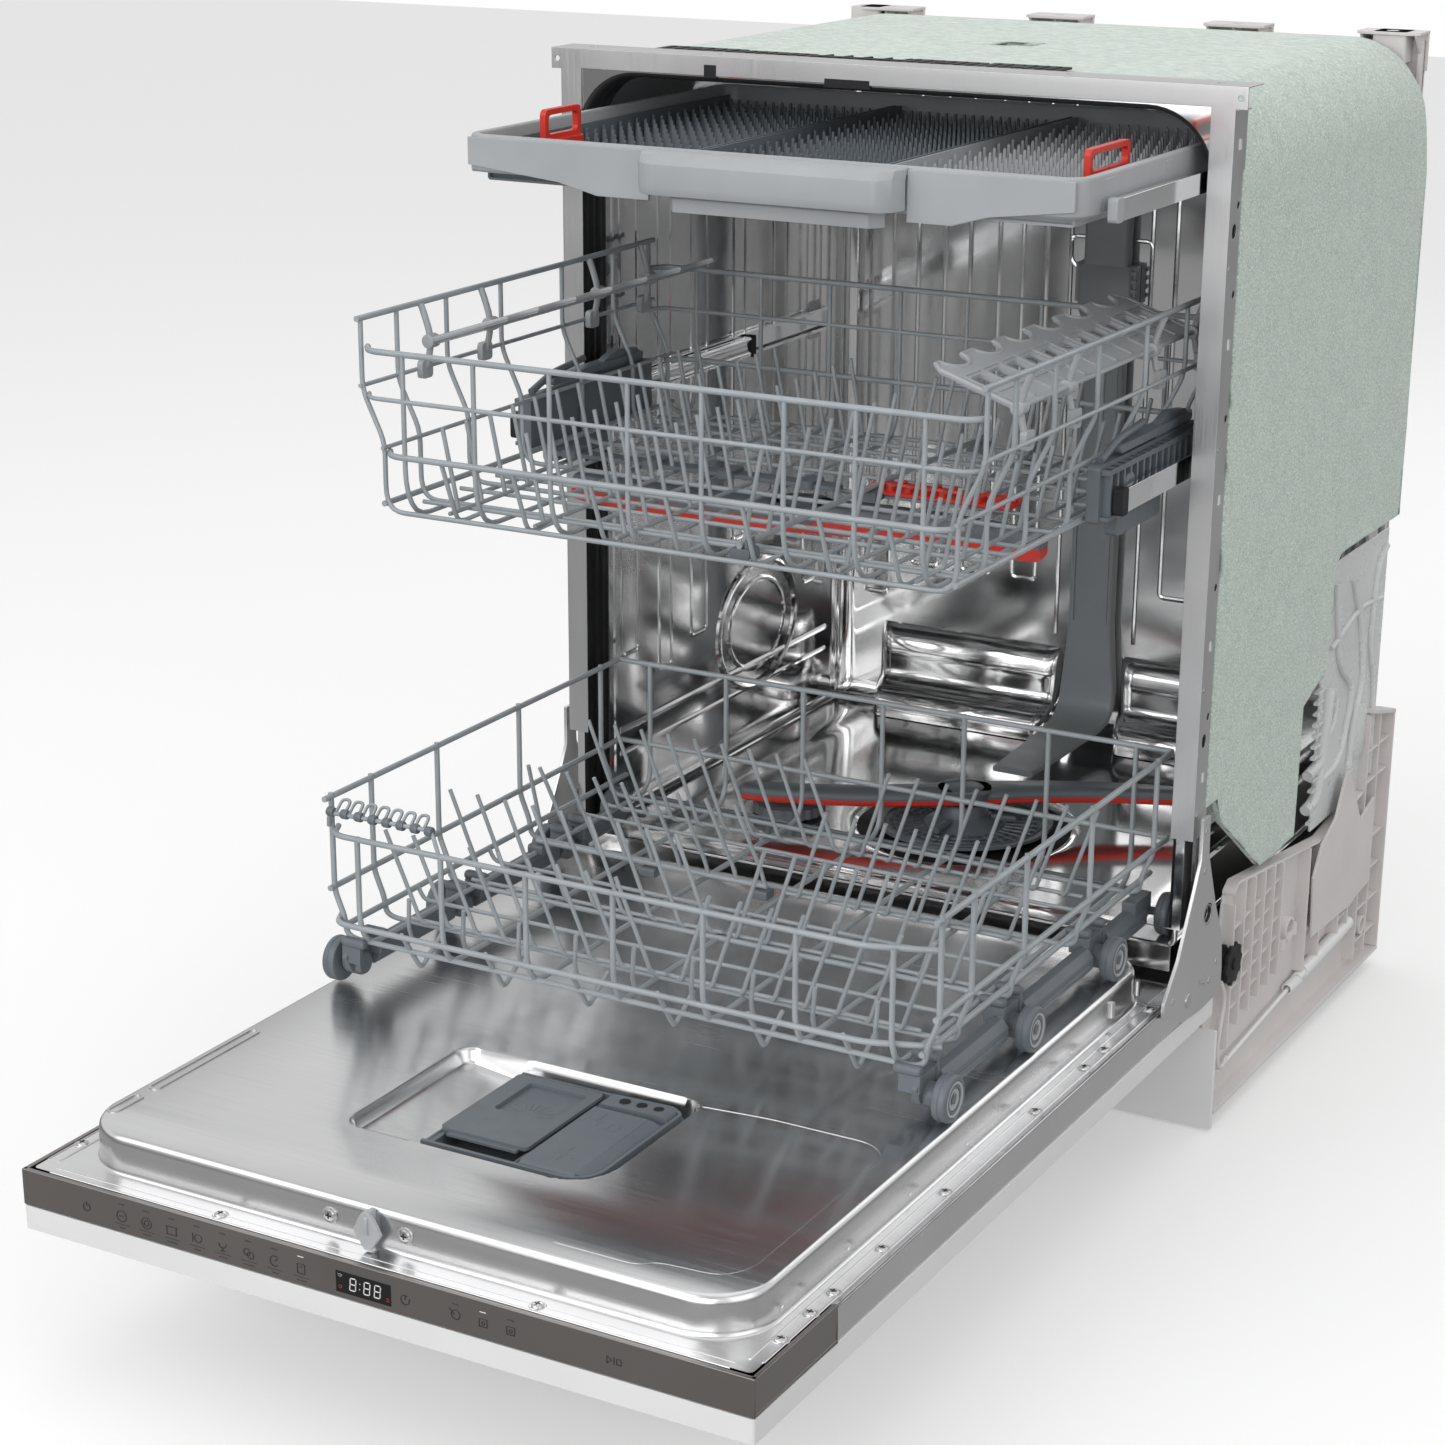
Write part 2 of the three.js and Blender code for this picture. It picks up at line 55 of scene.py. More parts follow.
def corners(node):
    """Lowest and highest corner of a CAD node, in this script's millimetres."""
    low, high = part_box(node)
    shift = Vector((0, FRONT, 0))
    return low / MM - shift, high / MM - shift


# ---- camera, lights and floor --------------------------------------------------------------
def camera():
    """A view from the right front, a little above the machine."""
    data = bpy.data.cameras.new("camera")
    data.sensor_width = 36
    data.lens = 76.87
    data.shift_x = 0.0273
    data.shift_y = 0.0664
    data.clip_start = 0.05
    eye = bpy.data.objects.new("camera", data)
    eye.location = (1.0871, -2.0706, 1.1052)
    eye.rotation_euler = (math.pi / 2 - 0.34, 0, 0.525)
    bpy.context.scene.collection.objects.link(eye)
    bpy.context.scene.camera = eye


def area_light(name, place, target, size, power):
    """A soft box at a place, turned to its target."""
    data = bpy.data.lights.new(name, "AREA")
    data.shape = "RECTANGLE"
    data.size, data.size_y = size
    data.energy = power
    lamp = bpy.data.objects.new(name, data)
    lamp.location = place
    lamp.rotation_euler = (Vector(target) - Vector(place)).to_track_quat("-Z", "Y").to_euler()
    bpy.context.scene.collection.objects.link(lamp)


def set_stops(ramp, stops):
    """Gives a colour ramp its stops, each a position and a colour."""
    elements = ramp.color_ramp.elements
    while len(elements) < len(stops):
        elements.new(0.5)
    for element, (position, colour) in zip(elements, stops):
        element.position = position
        element.color = (*colour, 1)


def studio():
    """A white room whose reflection darkens towards the floor, and five soft boxes."""
    world = bpy.data.worlds.new("studio")
    bpy.context.scene.world = world
    world.use_nodes = True
    tree = world.node_tree
    tree.nodes.clear()
    link, node = tree.links.new, tree.nodes.new
    place = node("ShaderNodeTexCoord")
    split = node("ShaderNodeSeparateXYZ")
    ramp = node("ShaderNodeValToRGB")
    waves = node("ShaderNodeTexNoise")
    waves.inputs["Scale"].default_value = 1.6
    height = node("ShaderNodeMath")
    height.operation = "MULTIPLY_ADD"
    link(place.outputs["Generated"], waves.inputs["Vector"])
    link(place.outputs["Generated"], split.inputs[0])
    link(waves.outputs["Fac"], height.inputs[0])
    height.inputs[1].default_value = 0.55
    link(split.outputs["Z"], height.inputs[2])
    link(height.outputs[0], ramp.inputs[0])
    bands = [(0.0, 0.36), (0.22, 0.16), (0.34, 0.5), (0.46, 0.78), (0.75, 0.82), (1.0, 0.62)]
    set_stops(ramp, [(position, (level, level, level)) for position, level in bands])
    seen = node("ShaderNodeBackground")
    seen.inputs["Color"].default_value = (1, 1, 1, 1)
    lit = node("ShaderNodeBackground")
    link(ramp.outputs[0], lit.inputs["Color"])
    rays = node("ShaderNodeLightPath")
    choose = node("ShaderNodeMixShader")
    link(rays.outputs["Is Camera Ray"], choose.inputs[0])
    link(lit.outputs[0], choose.inputs[1])
    link(seen.outputs[0], choose.inputs[2])
    out = node("ShaderNodeOutputWorld")
    link(choose.outputs[0], out.inputs[0])

    area_light("key", (-1.8, -2.9, 2.8), (0, 0, 0.4), (3.2, 3.2), 36)
    area_light("fill", (3.0, -1.2, 1.8), (0, 0, 0.5), (2.4, 3.0), 14)
    area_light("top", (0, 0.2, 3.4), (0, 0, 0.4), (3.2, 3.2), 14)
    area_light("front", (0.2, -3.6, 1.2), (0, 0.3, 0.45), (3.4, 2.4), 44)
    area_light("back", (0.8, 3.0, 2.0), (0, 0, 0.5), (2.4, 2.0), 10)
    bpy.context.scene.view_settings.view_transform = "Standard"


def stage_floor():
    """A plain pale floor, which takes soft shadows and isn't mirrored in the steel."""
    half, shade = 9, 0.8
    mesh = bpy.data.meshes.new("stage_floor")
    mesh.from_pydata([(-half, -half, 0), (half, -half, 0), (half, half, 0), (-half, half, 0)],
                     [], [(0, 1, 2, 3)])
    paint = bpy.data.materials.new("pale_floor")
    paint.use_nodes = True
    shader = paint.node_tree.nodes["Principled BSDF"]
    shader.inputs["Base Color"].default_value = (shade, shade, shade, 1)
    shader.inputs["Roughness"].default_value = 0.9
    shader.inputs["Emission Color"].default_value = (1, 1, 1, 1)
    shader.inputs["Emission Strength"].default_value = 0.22
    mesh.materials.append(paint)
    ground = bpy.data.objects.new("stage_floor", mesh)
    ground.visible_glossy = False
    ground.visible_diffuse = False
    ground.visible_shadow = False
    bpy.context.scene.collection.objects.link(ground)


# ---- materials ------------------------------------------------------------------------------
class Finish:
    """A material built from its nodes; positions are the object's own, in metres."""

    def __init__(self, name, colour, roughness, metallic=0.0, **sockets):
        self.material = bpy.data.materials.new(name)
        self.material.use_nodes = True
        self.tree = self.material.node_tree
        self.shader = self.tree.nodes["Principled BSDF"]
        self.place = self.add("ShaderNodeTexCoord").outputs["Object"]
        self.colour = colour
        self.set("Base Color", (*colour, 1))
        self.set("Roughness", roughness)
        self.set("Metallic", metallic)
        for socket, value in sockets.items():
            self.set(socket.replace("_", " "), value)
        self.material.diffuse_color = (*colour, 1)

    def add(self, kind):
        return self.tree.nodes.new(kind)

    def set(self, socket, value):
        self.shader.inputs[socket].default_value = value

    def link(self, a, b):
        self.tree.links.new(a, b)

    def noise(self, scale, detail=3.0, stretch=(1, 1, 1), turn=(0, 0, 0), distortion=0.0):
        mapping = self.add("ShaderNodeMapping")
        mapping.inputs["Scale"].default_value = stretch
        mapping.inputs["Rotation"].default_value = turn
        self.link(self.place, mapping.inputs["Vector"])
        node = self.add("ShaderNodeTexNoise")
        node.inputs["Scale"].default_value = scale
        node.inputs["Detail"].default_value = detail
        node.inputs["Distortion"].default_value = distortion
        self.link(mapping.outputs[0], node.inputs["Vector"])
        return node.outputs["Fac"]

    def ramp(self, value, stops):
        node = self.add("ShaderNodeValToRGB")
        set_stops(node, stops)
        self.link(value, node.inputs[0])
        return node.outputs[0]

    def spread(self, value, low, high):
        """Turns a noise value into numbers from low to high."""
        node = self.add("ShaderNodeMapRange")
        node.inputs["From Min"].default_value = 0.3
        node.inputs["From Max"].default_value = 0.7
        node.inputs["To Min"].default_value = low
        node.inputs["To Max"].default_value = high
        self.link(value, node.inputs["Value"])
        return node.outputs["Result"]

    def mix(self, share, a, b):
        node = self.add("ShaderNodeMix")
        node.data_type = "RGBA"
        for socket, value in ((node.inputs[0], share), (node.inputs[6], a), (node.inputs[7], b)):
            if isinstance(value, bpy.types.NodeSocket):
                self.link(value, socket)
            else:
                socket.default_value = value
        return node.outputs[2]

    def shade(self, value, amount):
        """Lets the colour go lighter and darker with a noise value."""
        dark = tuple(c * (1 - amount) for c in self.colour)
        light = tuple(min(1, c * (1 + amount)) for c in self.colour)
        self.link(self.ramp(value, [(0.3, dark), (0.7, light)]), self.shader.inputs["Base Color"])

    def rough(self, value, low, high):
        self.link(self.spread(value, low, high), self.shader.inputs["Roughness"])

    def bump(self, value, strength, distance, over=None):
        node = self.add("ShaderNodeBump")
        node.inputs["Strength"].default_value = strength
        node.inputs["Distance"].default_value = distance
        self.link(value, node.inputs["Height"])
        if over is not None:
            self.link(over, node.inputs["Normal"])
        self.link(node.outputs[0], self.shader.inputs["Normal"])
        return node.outputs[0]


def steel(name, colour, roughness, grain, waves=0.0, anisotropy=0.0, scratch=0.05):
    """Rolled or brushed sheet; grain is the stretch of its fine lines."""
    finish = Finish(name, colour, roughness, metallic=1.0, Anisotropic=anisotropy)
    lines = finish.noise(1.0, detail=2, stretch=grain)
    clouds = finish.noise(7.0, detail=3)
    finish.shade(clouds, 0.05)
    both = finish.add("ShaderNodeMath")
    both.operation = "MULTIPLY_ADD"
    finish.link(lines, both.inputs[0])
    both.inputs[1].default_value = 0.6
    share = finish.add("ShaderNodeMath")
    share.operation = "MULTIPLY"
    share.inputs[1].default_value = 0.4
    finish.link(clouds, share.inputs[0])
    finish.link(share.outputs[0], both.inputs[2])
    finish.rough(both.outputs[0], roughness * 0.75, roughness * 1.3)
    fine = finish.bump(lines, scratch, 0.0002)
    if waves:
        finish.bump(finish.noise(5.0, detail=1), waves, 0.01, over=fine)
    return finish.material


def plastic(name, colour, roughness, grain=0.12, shade=0.05, **sockets):
    """Moulded plastic with a fine grain and slight unevenness."""
    finish = Finish(name, colour, roughness, **sockets)
    finish.shade(finish.noise(18.0, detail=4), shade)
    finish.rough(finish.noise(60.0), roughness * 0.85, roughness * 1.15)
    finish.bump(finish.noise(1800.0, detail=2), grain, 0.0003)
    return finish.material


def coated_wire():
    """Nylon-coated wire: soft gloss with the slight unevenness of a dipped coat."""
    finish = Finish("wire_coat", (0.33, 0.36, 0.38), 0.34, Coat_Weight=0.25, Coat_Roughness=0.25)
    finish.shade(finish.noise(30.0, detail=4), 0.1)
    finish.rough(finish.noise(90.0), 0.28, 0.42)
    finish.bump(finish.noise(350.0, detail=2), 0.12, 0.0005)
    return finish.material


def felt():
    """Pressed recycled fibre: short threads in four directions, with pale and green flecks."""
    base = (0.46, 0.56, 0.49)
    finish = Finish("felt", base, 0.95, Sheen_Weight=0.35, Sheen_Roughness=0.6)
    colour = finish.ramp(finish.noise(60.0, detail=5, distortion=0.6),
                         [(0.32, (0.40, 0.51, 0.44)), (0.5, base), (0.68, (0.53, 0.61, 0.54))])
    height = None
    threads = [((0.5, 0.0, 0.3), (0.70, 0.72, 0.64)), ((-0.6, 0.4, 0.9), (0.31, 0.42, 0.36)),
               ((1.2, 0.8, -0.5), (0.72, 0.76, 0.70)), ((-1.1, -0.7, 2.0), (0.45, 0.58, 0.55))]
    for turn, tint in threads:
        strand = finish.noise(90.0, detail=2, stretch=(1.0, 6.5, 6.5), turn=turn, distortion=0.5)
        share = finish.add("ShaderNodeMapRange")
        share.inputs["From Min"].default_value = 0.56
        share.inputs["From Max"].default_value = 0.61
        finish.link(strand, share.inputs["Value"])
        colour = finish.mix(share.outputs["Result"], colour, (*tint, 1))
        height = strand if height is None else finish.mix(0.5, height, strand)
    finish.link(colour, finish.shader.inputs["Base Color"])
    finish.bump(height, 0.5, 0.0012)
    return finish.material


def clear_sheet():
    """Milky blow-moulded tank wall."""
    finish = Finish("tank_plastic", (0.84, 0.855, 0.855), 0.3, Transmission_Weight=0.3, IOR=1.3)
    finish.shade(finish.noise(12.0, detail=4), 0.04)
    finish.rough(finish.noise(40.0), 0.24, 0.36)
    finish.bump(finish.noise(60.0, detail=2), 0.06, 0.001)
    return finish.material


def make_finishes():
    """Every finish by its short name."""
    return {
        "tub": steel("tub_steel", (0.80, 0.80, 0.80), 0.1, (2, 2, 60), waves=0.004, scratch=0.003),
        "frame": steel("frame_steel", (0.60, 0.60, 0.605), 0.38, (1400, 30, 12), anisotropy=0.3),
        "door": steel("door_steel", (0.74, 0.74, 0.745), 0.22, (6, 300, 300), waves=0.008,
                      anisotropy=0.3, scratch=0.006),
        "plate": steel("hinge_steel", (0.70, 0.70, 0.70), 0.34, (40, 300, 300)),
        "strip": steel("strip_steel", (0.30, 0.28, 0.27), 0.36, (10, 1500, 1500), anisotropy=0.4),
        "chrome": steel("chrome", (0.86, 0.87, 0.88), 0.09, (200, 6, 200)),
        "white": plastic("white_panel", (0.80, 0.80, 0.80), 0.38, grain=0.05, shade=0.02),
        "base": plastic("base_plastic", (0.70, 0.67, 0.66), 0.5, grain=0.1, shade=0.04),
        "dark": plastic("dark_plastic", (0.135, 0.155, 0.172), 0.42),
        "duct": plastic("duct_plastic", (0.27, 0.29, 0.305), 0.42),
        "black": plastic("black_plastic", (0.02, 0.02, 0.022), 0.55, Specular_IOR_Level=0.25),
        "grey": plastic("grey_plastic", (0.42, 0.435, 0.45), 0.42, grain=0.08),
        "shelf": plastic("shelf_plastic", (0.39, 0.405, 0.42), 0.4, grain=0.08),
        "red": plastic("red_plastic", (0.62, 0.035, 0.02), 0.36, grain=0.06, shade=0.06),
        "rubber": plastic("rubber", (0.014, 0.014, 0.015), 0.5, grain=0.2),
        "iron": plastic("cast_iron", (0.09, 0.095, 0.1), 0.7, grain=0.4),
        "screw": steel("screw_steel", (0.62, 0.62, 0.62), 0.25, (300, 300, 300)),
        "wire": coated_wire(),
        "felt": felt(),
        "clear": clear_sheet(),
        "glass": plastic("display_glass", (0.006, 0.006, 0.007), 0.12, grain=0.0, shade=0.02),
        "print": plastic("white_print", (0.75, 0.75, 0.76), 0.5, grain=0.0, shade=0.02),
        "mark": plastic("grey_print", (0.03, 0.028, 0.027), 0.5, grain=0.0, shade=0.02),
    }


# ---- shapes ---------------------------------------------------------------------------------
def bend(points, radius, steps=4):
    """The same line with round corners."""
    points = [Vector(p) for p in points]
    line = [points[0]]
    for before, corner, after in zip(points, points[1:], points[2:]):
        reach_in = min(radius, (before - corner).length * 0.48)
        reach_out = min(radius, (after - corner).length * 0.48)
        start = corner + (before - corner).normalized() * reach_in
        end = corner + (after - corner).normalized() * reach_out
        for i in range(steps + 1):
            t = i / steps
            line.append(start * (1 - t) ** 2 + corner * 2 * t * (1 - t) + end * t * t)
    line.append(points[-1])
    return line


def rounded(x0, x1, v0, v1, radius, steps=6):
    """A rectangle with round corners, as [u, v] points; radius is one number or four."""
    radii = radius if isinstance(radius, (list, tuple)) else [radius] * 4
    spots = [(x1, v0, -90), (x1, v1, 0), (x0, v1, 90), (x0, v0, 180)]
    outline = []
    for (x, v, start), r in zip(spots, radii):
        cx = x - r if x == x1 else x + r
        cv = v - r if v == v1 else v + r
        for i in range(steps + 1):
            angle = math.radians(start + 90 * i / steps)
            outline.append((cx + r * math.cos(angle), cv + r * math.sin(angle)))
    return outline


def swept(profile, wall, shares):
    """Loops of a [y, z] profile along x, each standing out from its wall by a share of its depth."""
    return [[(x, wall + (y - wall) * share, z) for y, z in profile] for x, share in shares]


def grid(columns, rows):
    """Faces of a grid of points that is listed row by row."""
    return [[j * columns + i, j * columns + i + 1, (j + 1) * columns + i + 1, (j + 1) * columns + i]
            for j in range(rows - 1) for i in range(columns - 1)]


def turns(count, start=0.0):
    """Angles that divide a full turn evenly."""
    return [math.tau * i / count + start for i in range(count)]


def circle(cu, cv, r, sides=24):
    """Points of a circle."""
    return [(cu + r * math.cos(a), cv + r * math.sin(a)) for a in turns(sides)]


def toothed(cu, cv, tip, root, sides):
    """A circle with square teeth, each four sides long with its gap."""
    return [circle(cu, cv, tip if i % 4 < 2 else root, sides)[i] for i in range(sides)]


def place(u, v, axis, w):
    """A point of a flat outline pushed to w along an axis."""
    return {"x": (w, u, v), "y": (u, w, v), "z": (u, v, w)}[axis]


def away(centre, angle, reach, z):
    """A point at a distance from a centre, at height z."""
    return (centre[0] + reach * math.cos(angle), centre[1] + reach * math.sin(angle), z)


def evenly(first, last, count):
    """Numbers at even steps, both ends included."""
    return [first + (last - first) * i / (count - 1) for i in range(count)]


def level(outline, z):
    """A flat outline at height z."""
    return [(x, y, z) for x, y in outline]


class Shape:
    """Vertices and faces in millimetres that become one piece."""

    def __init__(self):
        self.verts = []
        self.faces = []

    def add(self, verts, faces):
        start = len(self.verts)
        self.verts += [tuple(v) for v in verts]
        self.faces += [[i + start for i in face] for face in faces]
        return self

    def loft(self, loops, caps=(True, True), closed=True):
        """Skin over loops that have the same number of points."""
        n = len(loops[0])
        span = n if closed else n - 1
        faces = []
        for k in range(len(loops) - 1):
            for i in range(span):
                j = (i + 1) % n
                faces.append([k * n + i, k * n + j, (k + 1) * n + j, (k + 1) * n + i])
        if caps[0]:
            faces.append(list(range(n))[::-1])
        if caps[1]:
            faces.append([(len(loops) - 1) * n + i for i in range(n)])
        return self.add([p for loop in loops for p in loop], faces)

    def tube(self, points, r, sides=8, closed=False):
        points = [Vector(p) for p in points]
        n = len(points)
        loops = []
        side = None
        for i, p in enumerate(points):
            before = points[i - 1] if i > 0 or closed else p
            after = points[(i + 1) % n] if i < n - 1 or closed else p
            along = (after - before).normalized()
            if side is None:
                side = along.orthogonal().normalized()
            side = (side - along * side.dot(along)).normalized()
            other = along.cross(side)
            loops.append([p + side * u + other * v for u, v in circle(0, 0, r, sides)])
        if closed:
            loops.append(loops[0])
        return self.loft(loops, caps=(not closed, not closed))

    def wire(self, points, r=2.2, radius=7, sides=8):
        return self.tube(bend(points, radius, steps=3), r, sides)

    def sheet(self, outline, z, holes=()):
        """A flat plate without thickness, with holes in it."""
        rings = [[Vector((u, v, z)) for u, v in ring] for ring in (outline, *holes)]
        return self.add([p for ring in rings for p in ring], [list(t) for t in tessellate_polygon(rings)])

    def block(self, x0, x1, y0, y1, z0, z1):
        verts = [(x, y, z) for x in (x0, x1) for y in (y0, y1) for z in (z0, z1)]
        return self.add(verts, [[0, 1, 3, 2], [4, 6, 7, 5], [0, 4, 5, 1], [2, 3, 7, 6],
                                [0, 2, 6, 4], [1, 5, 7, 3]])

    def prism(self, outline, axis, start, end, holes=()):
        """A flat outline with holes in it, pushed along an axis."""
        rings = [outline, *holes]
        flat = [Vector((u, v, 0)) for ring in rings for u, v in ring]
        triangles = tessellate_polygon([[Vector((u, v, 0)) for u, v in ring] for ring in rings])
        n = len(flat)
        verts = [place(p.x, p.y, axis, w) for w in (start, end) for p in flat]
        faces = [list(t) for t in triangles] + [[i + n for i in t][::-1] for t in triangles]
        base = 0
        for ring in rings:
            for i in range(len(ring)):
                j = (i + 1) % len(ring)
                faces.append([base + i, base + j, base + j + n, base + i + n])
            base += len(ring)
        return self.add(verts, faces)

    def lathe(self, profile, centre, axis="z", sides=32):
        """Turns a profile of [radius, height] points about an axis."""
        loops = []
        for r, h in profile:
            ring = [{"x": (h, a, b), "y": (b, h, a), "z": (a, b, h)}[axis]
                    for a, b in circle(0, 0, r, sides)]
            loops.append([Vector(spot) + Vector(centre) for spot in ring])
        return self.loft(loops)

    def bead(self, points, r=3.0, closed=False):
        """A pressed ridge: a round line that is sunk in its wall by its owner."""
        return self.tube(points, r, sides=10, closed=closed)

    def join(self, other):
        return self.add(other.verts, other.faces)

    def on_side(self, sign):
        """The shape itself on the right, where the sign is 1, or its mirror image on the left."""
        if sign > 0:
            return self
        return Shape().add([(-x, y, z) for x, y, z in self.verts], [f[::-1] for f in self.faces])

    def mirrored(self):
        """The same shape with its mirror image at the other side."""
        return Shape().join(self).join(self.on_side(-1))

    def turned(self, matrix, pivot):
        pivot = Vector(pivot)
        return Shape().add([matrix @ (Vector(v) - pivot) + pivot for v in self.verts], self.faces)


def part(name, shape, finish, body, replaces=(), soften=0.0, smooth=35, thick=0.0, solid=True):
    """One piece: its mesh, its finish and the CAD body that it moves with."""
    data = bpy.data.meshes.new(name)
    data.from_pydata([(x * MM, (y + FRONT) * MM, z * MM) for x, y, z in shape.verts], [], shape.faces)
    if solid:
        mesh = bmesh.new()
        mesh.from_mesh(data)
        bmesh.ops.remove_doubles(mesh, verts=mesh.verts, dist=1e-6)
        bmesh.ops.recalc_face_normals(mesh, faces=mesh.faces)
        mesh.to_mesh(data)
        mesh.free()
    data.materials.append(FINISHES[finish])
    piece = bpy.data.objects.new(name, data)
    bpy.context.scene.collection.objects.link(piece)
    if thick:
        sheet = piece.modifiers.new("sheet", "SOLIDIFY")
        sheet.thickness = thick * MM
        sheet.offset = 0
    dress(piece, soften, smooth)
    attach(piece, body)
    if replaces:
        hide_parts(*replaces)
    return piece


def bevel(piece, name, width, segments, angle):
    """Rounds the edges that are sharper than an angle in degrees."""
    edge = piece.modifiers.new(name, "BEVEL")
    edge.width = width * MM
    edge.segments = segments
    edge.limit_method = "ANGLE"
    edge.angle_limit = math.radians(angle)


def dress(piece, soften, smooth=35):
    """Smooth shading, with small rounds on the hard edges or, without them, sharp ones."""
    piece.data.shade_smooth()
    if soften:
        bevel(piece, "edge", soften, 2, smooth)
        even = piece.modifiers.new("even", "WEIGHTED_NORMAL")
        even.keep_sharp = True
    else:
        piece.data.set_sharp_from_angle(angle=math.radians(smooth))


def keep(node, finish, soften):
    """A CAD node that stays: it gets its finish and softened edges."""
    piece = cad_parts[node]
    piece.data.materials.clear()
    piece.data.materials.append(FINISHES[finish])
    weld = piece.modifiers.new("weld", "WELD")
    weld.merge_threshold = 0.01 * MM
    dress(piece, soften)


# ---- tub ------------------------------------------------------------------------------------
SKIN = 1.5
TUB = [corners("tub_shell")[1][axis] - SKIN for axis in (0, 2, 1)]


def tub():
    """Pressed steel tub: its skin, the ribs on its walls and the step along its back."""
    half, top, back = TUB
    sill = corners("tub_floor")[1].z
    turn = 16
    path = [(2.6, -6.2), (2.6, -2.5), (3.4, -0.8), (5.2, 0)]
    path += [(back - turn + turn * math.sin(a), turn * (1 - math.cos(a)))
             for a in evenly(0, math.pi / 2, 6)]
    loops = []
    for y, inset in path:
        outline = rounded(-half + inset, half - inset, sill + 0.4 + max(inset, 0), top - inset,
                          [8, 54 - inset, 54 - inset, 8], steps=10)
        loops.append([(x, y, z) for x, z in outline])
    skin = Shape().loft(loops, caps=(False, True))
    skin.faces = [face for face in skin.faces if max(skin.verts[i][2] for i in face) >= sill + 1.5]
    part("tub_skin", skin, "tub", "cabinet", ["tub_shell"], thick=0.6, solid=False)

    ribs = Shape()
    sink = 1.4
    wall = half + sink
    for sign in (-1, 1):
        for y0, y1, z0 in [(64, 92, 330), (128, 150, 300), (186, 214, 318), (262, 284, 392),
                           (338, 366, 392), (404, 432, 318)]:
            ribs.bead(bend([(sign * wall, y, z) for y, z in ((y0, 776), (y0, z0), (y1, z0), (y1, 776))],
                           5), 3.0)
        ribs.bead([(sign * wall, 52, z) for z in (226, 800)], 3.4)
        for z, r in ((262, 4.2), (240, 3.4)):
            ribs.bead([(sign * (half + 1.6), y, z) for y in (60, 452)], r)
    ring = [(-wall, 311 + 75 * math.cos(a), 300 + 60 * math.sin(a)) for a in turns(48)]
    ribs.bead(ring, 5.2, closed=True)
    ribs.bead([(-wall, y + (311 - y) * 0.28, z + (300 - z) * 0.28) for _, y, z in ring], 3.6, closed=True)
    rear = back + sink
    for x0, x1, z0 in [(-246, -222, 296), (-196, -168, 330), (-142, -112, 330), (-88, -64, 330),
                       (64, 96, 330), (122, 150, 330), (176, 204, 330), (226, 248, 296)]:
        ribs.bead(bend([(x0, rear, 792), (x0, rear, z0), (x1, rear, z0), (x1, rear, 792)], 5), 3.2)
    for x in (-40, 40):
        ribs.bead([(x, rear, 280), (x, rear, 806)], 3.0)
    ribs.bead(bend([(-40, rear, 700), (-40, rear, 640), (-34, rear, 634)], 5), 3)
    part("tub_ribs", ribs, "tub", "cabinet")

    steps = Shape()
    profile = [(back + 1, 268), (back - 9, 262), (back - 14, 250), (back - 15, 236), (back - 15, 224),
               (back - 17, 214), (back - 30, 209), (back - 38, 203), (back - 42, 194), (back - 43, 182)]
    for x0, x1 in ((-226, -29), (29, 226)):
        shares = ((x0, 0.0), (x0 + 3, 0.5), (x0 + 9, 0.86), (x0 + 18, 1.0), (x1 - 18, 1.0),
                  (x1 - 9, 0.86), (x1 - 3, 0.5), (x1, 0.0))
        steps.loft(swept(profile, back + 1, shares), closed=False)
    part("tub_rear_step", steps, "tub", "cabinet", smooth=60, solid=False)


def tub_floor():
    """Tub floor that falls to the well round the sump, and the lip at its front."""
    high = corners("tub_floor")[1]
    middle = sum(corners("filter_sump"), Vector()) / 2
    half, back = high.x - 1.6, high.y - 2
    columns, rows = 121, 111
    dish_half, dish_front, dish_back, dish_edge, dish_depth = 228, 34, 452, 4.0, 3.2
    bowl_reach, bowl_depth = 240, 6
    well_reach, well_edge, well_depth = 96, 2.2, 4.0
    verts = []
    for j in range(rows):
        y = 6 + (back - 6) * j / (rows - 1)
        for i in range(columns):
            x = -half + 2 * half * i / (columns - 1)
            depth_in = min(dish_half - abs(x), y - dish_front, dish_back - y)
            dish = 1 / (1 + math.exp(-depth_in / dish_edge))
            reach = math.hypot(x - middle.x, y - middle.y)
            bowl = max(0.0, 1 - reach / bowl_reach) ** 1.5
            well = 1 / (1 + math.exp((reach - well_reach) / well_edge))
            z = high.z - 0.25 - dish_depth * dish - bowl_depth * bowl * dish - well_depth * well
            verts.append((x, y, z))
    sheet = Shape().add(verts, grid(columns, rows))
    part("tub_floor_skin", sheet, "tub", "cabinet", ["tub_floor"], thick=0.6,
         solid=False)
    lip = Shape()
    lip.prism([(4.5, high.z - 0.5), (4.5, 162), (6, 162), (6, high.z - 0.5)], "x", -half, half)
    part("tub_front_lip", lip, "tub", "cabinet", soften=0.3)


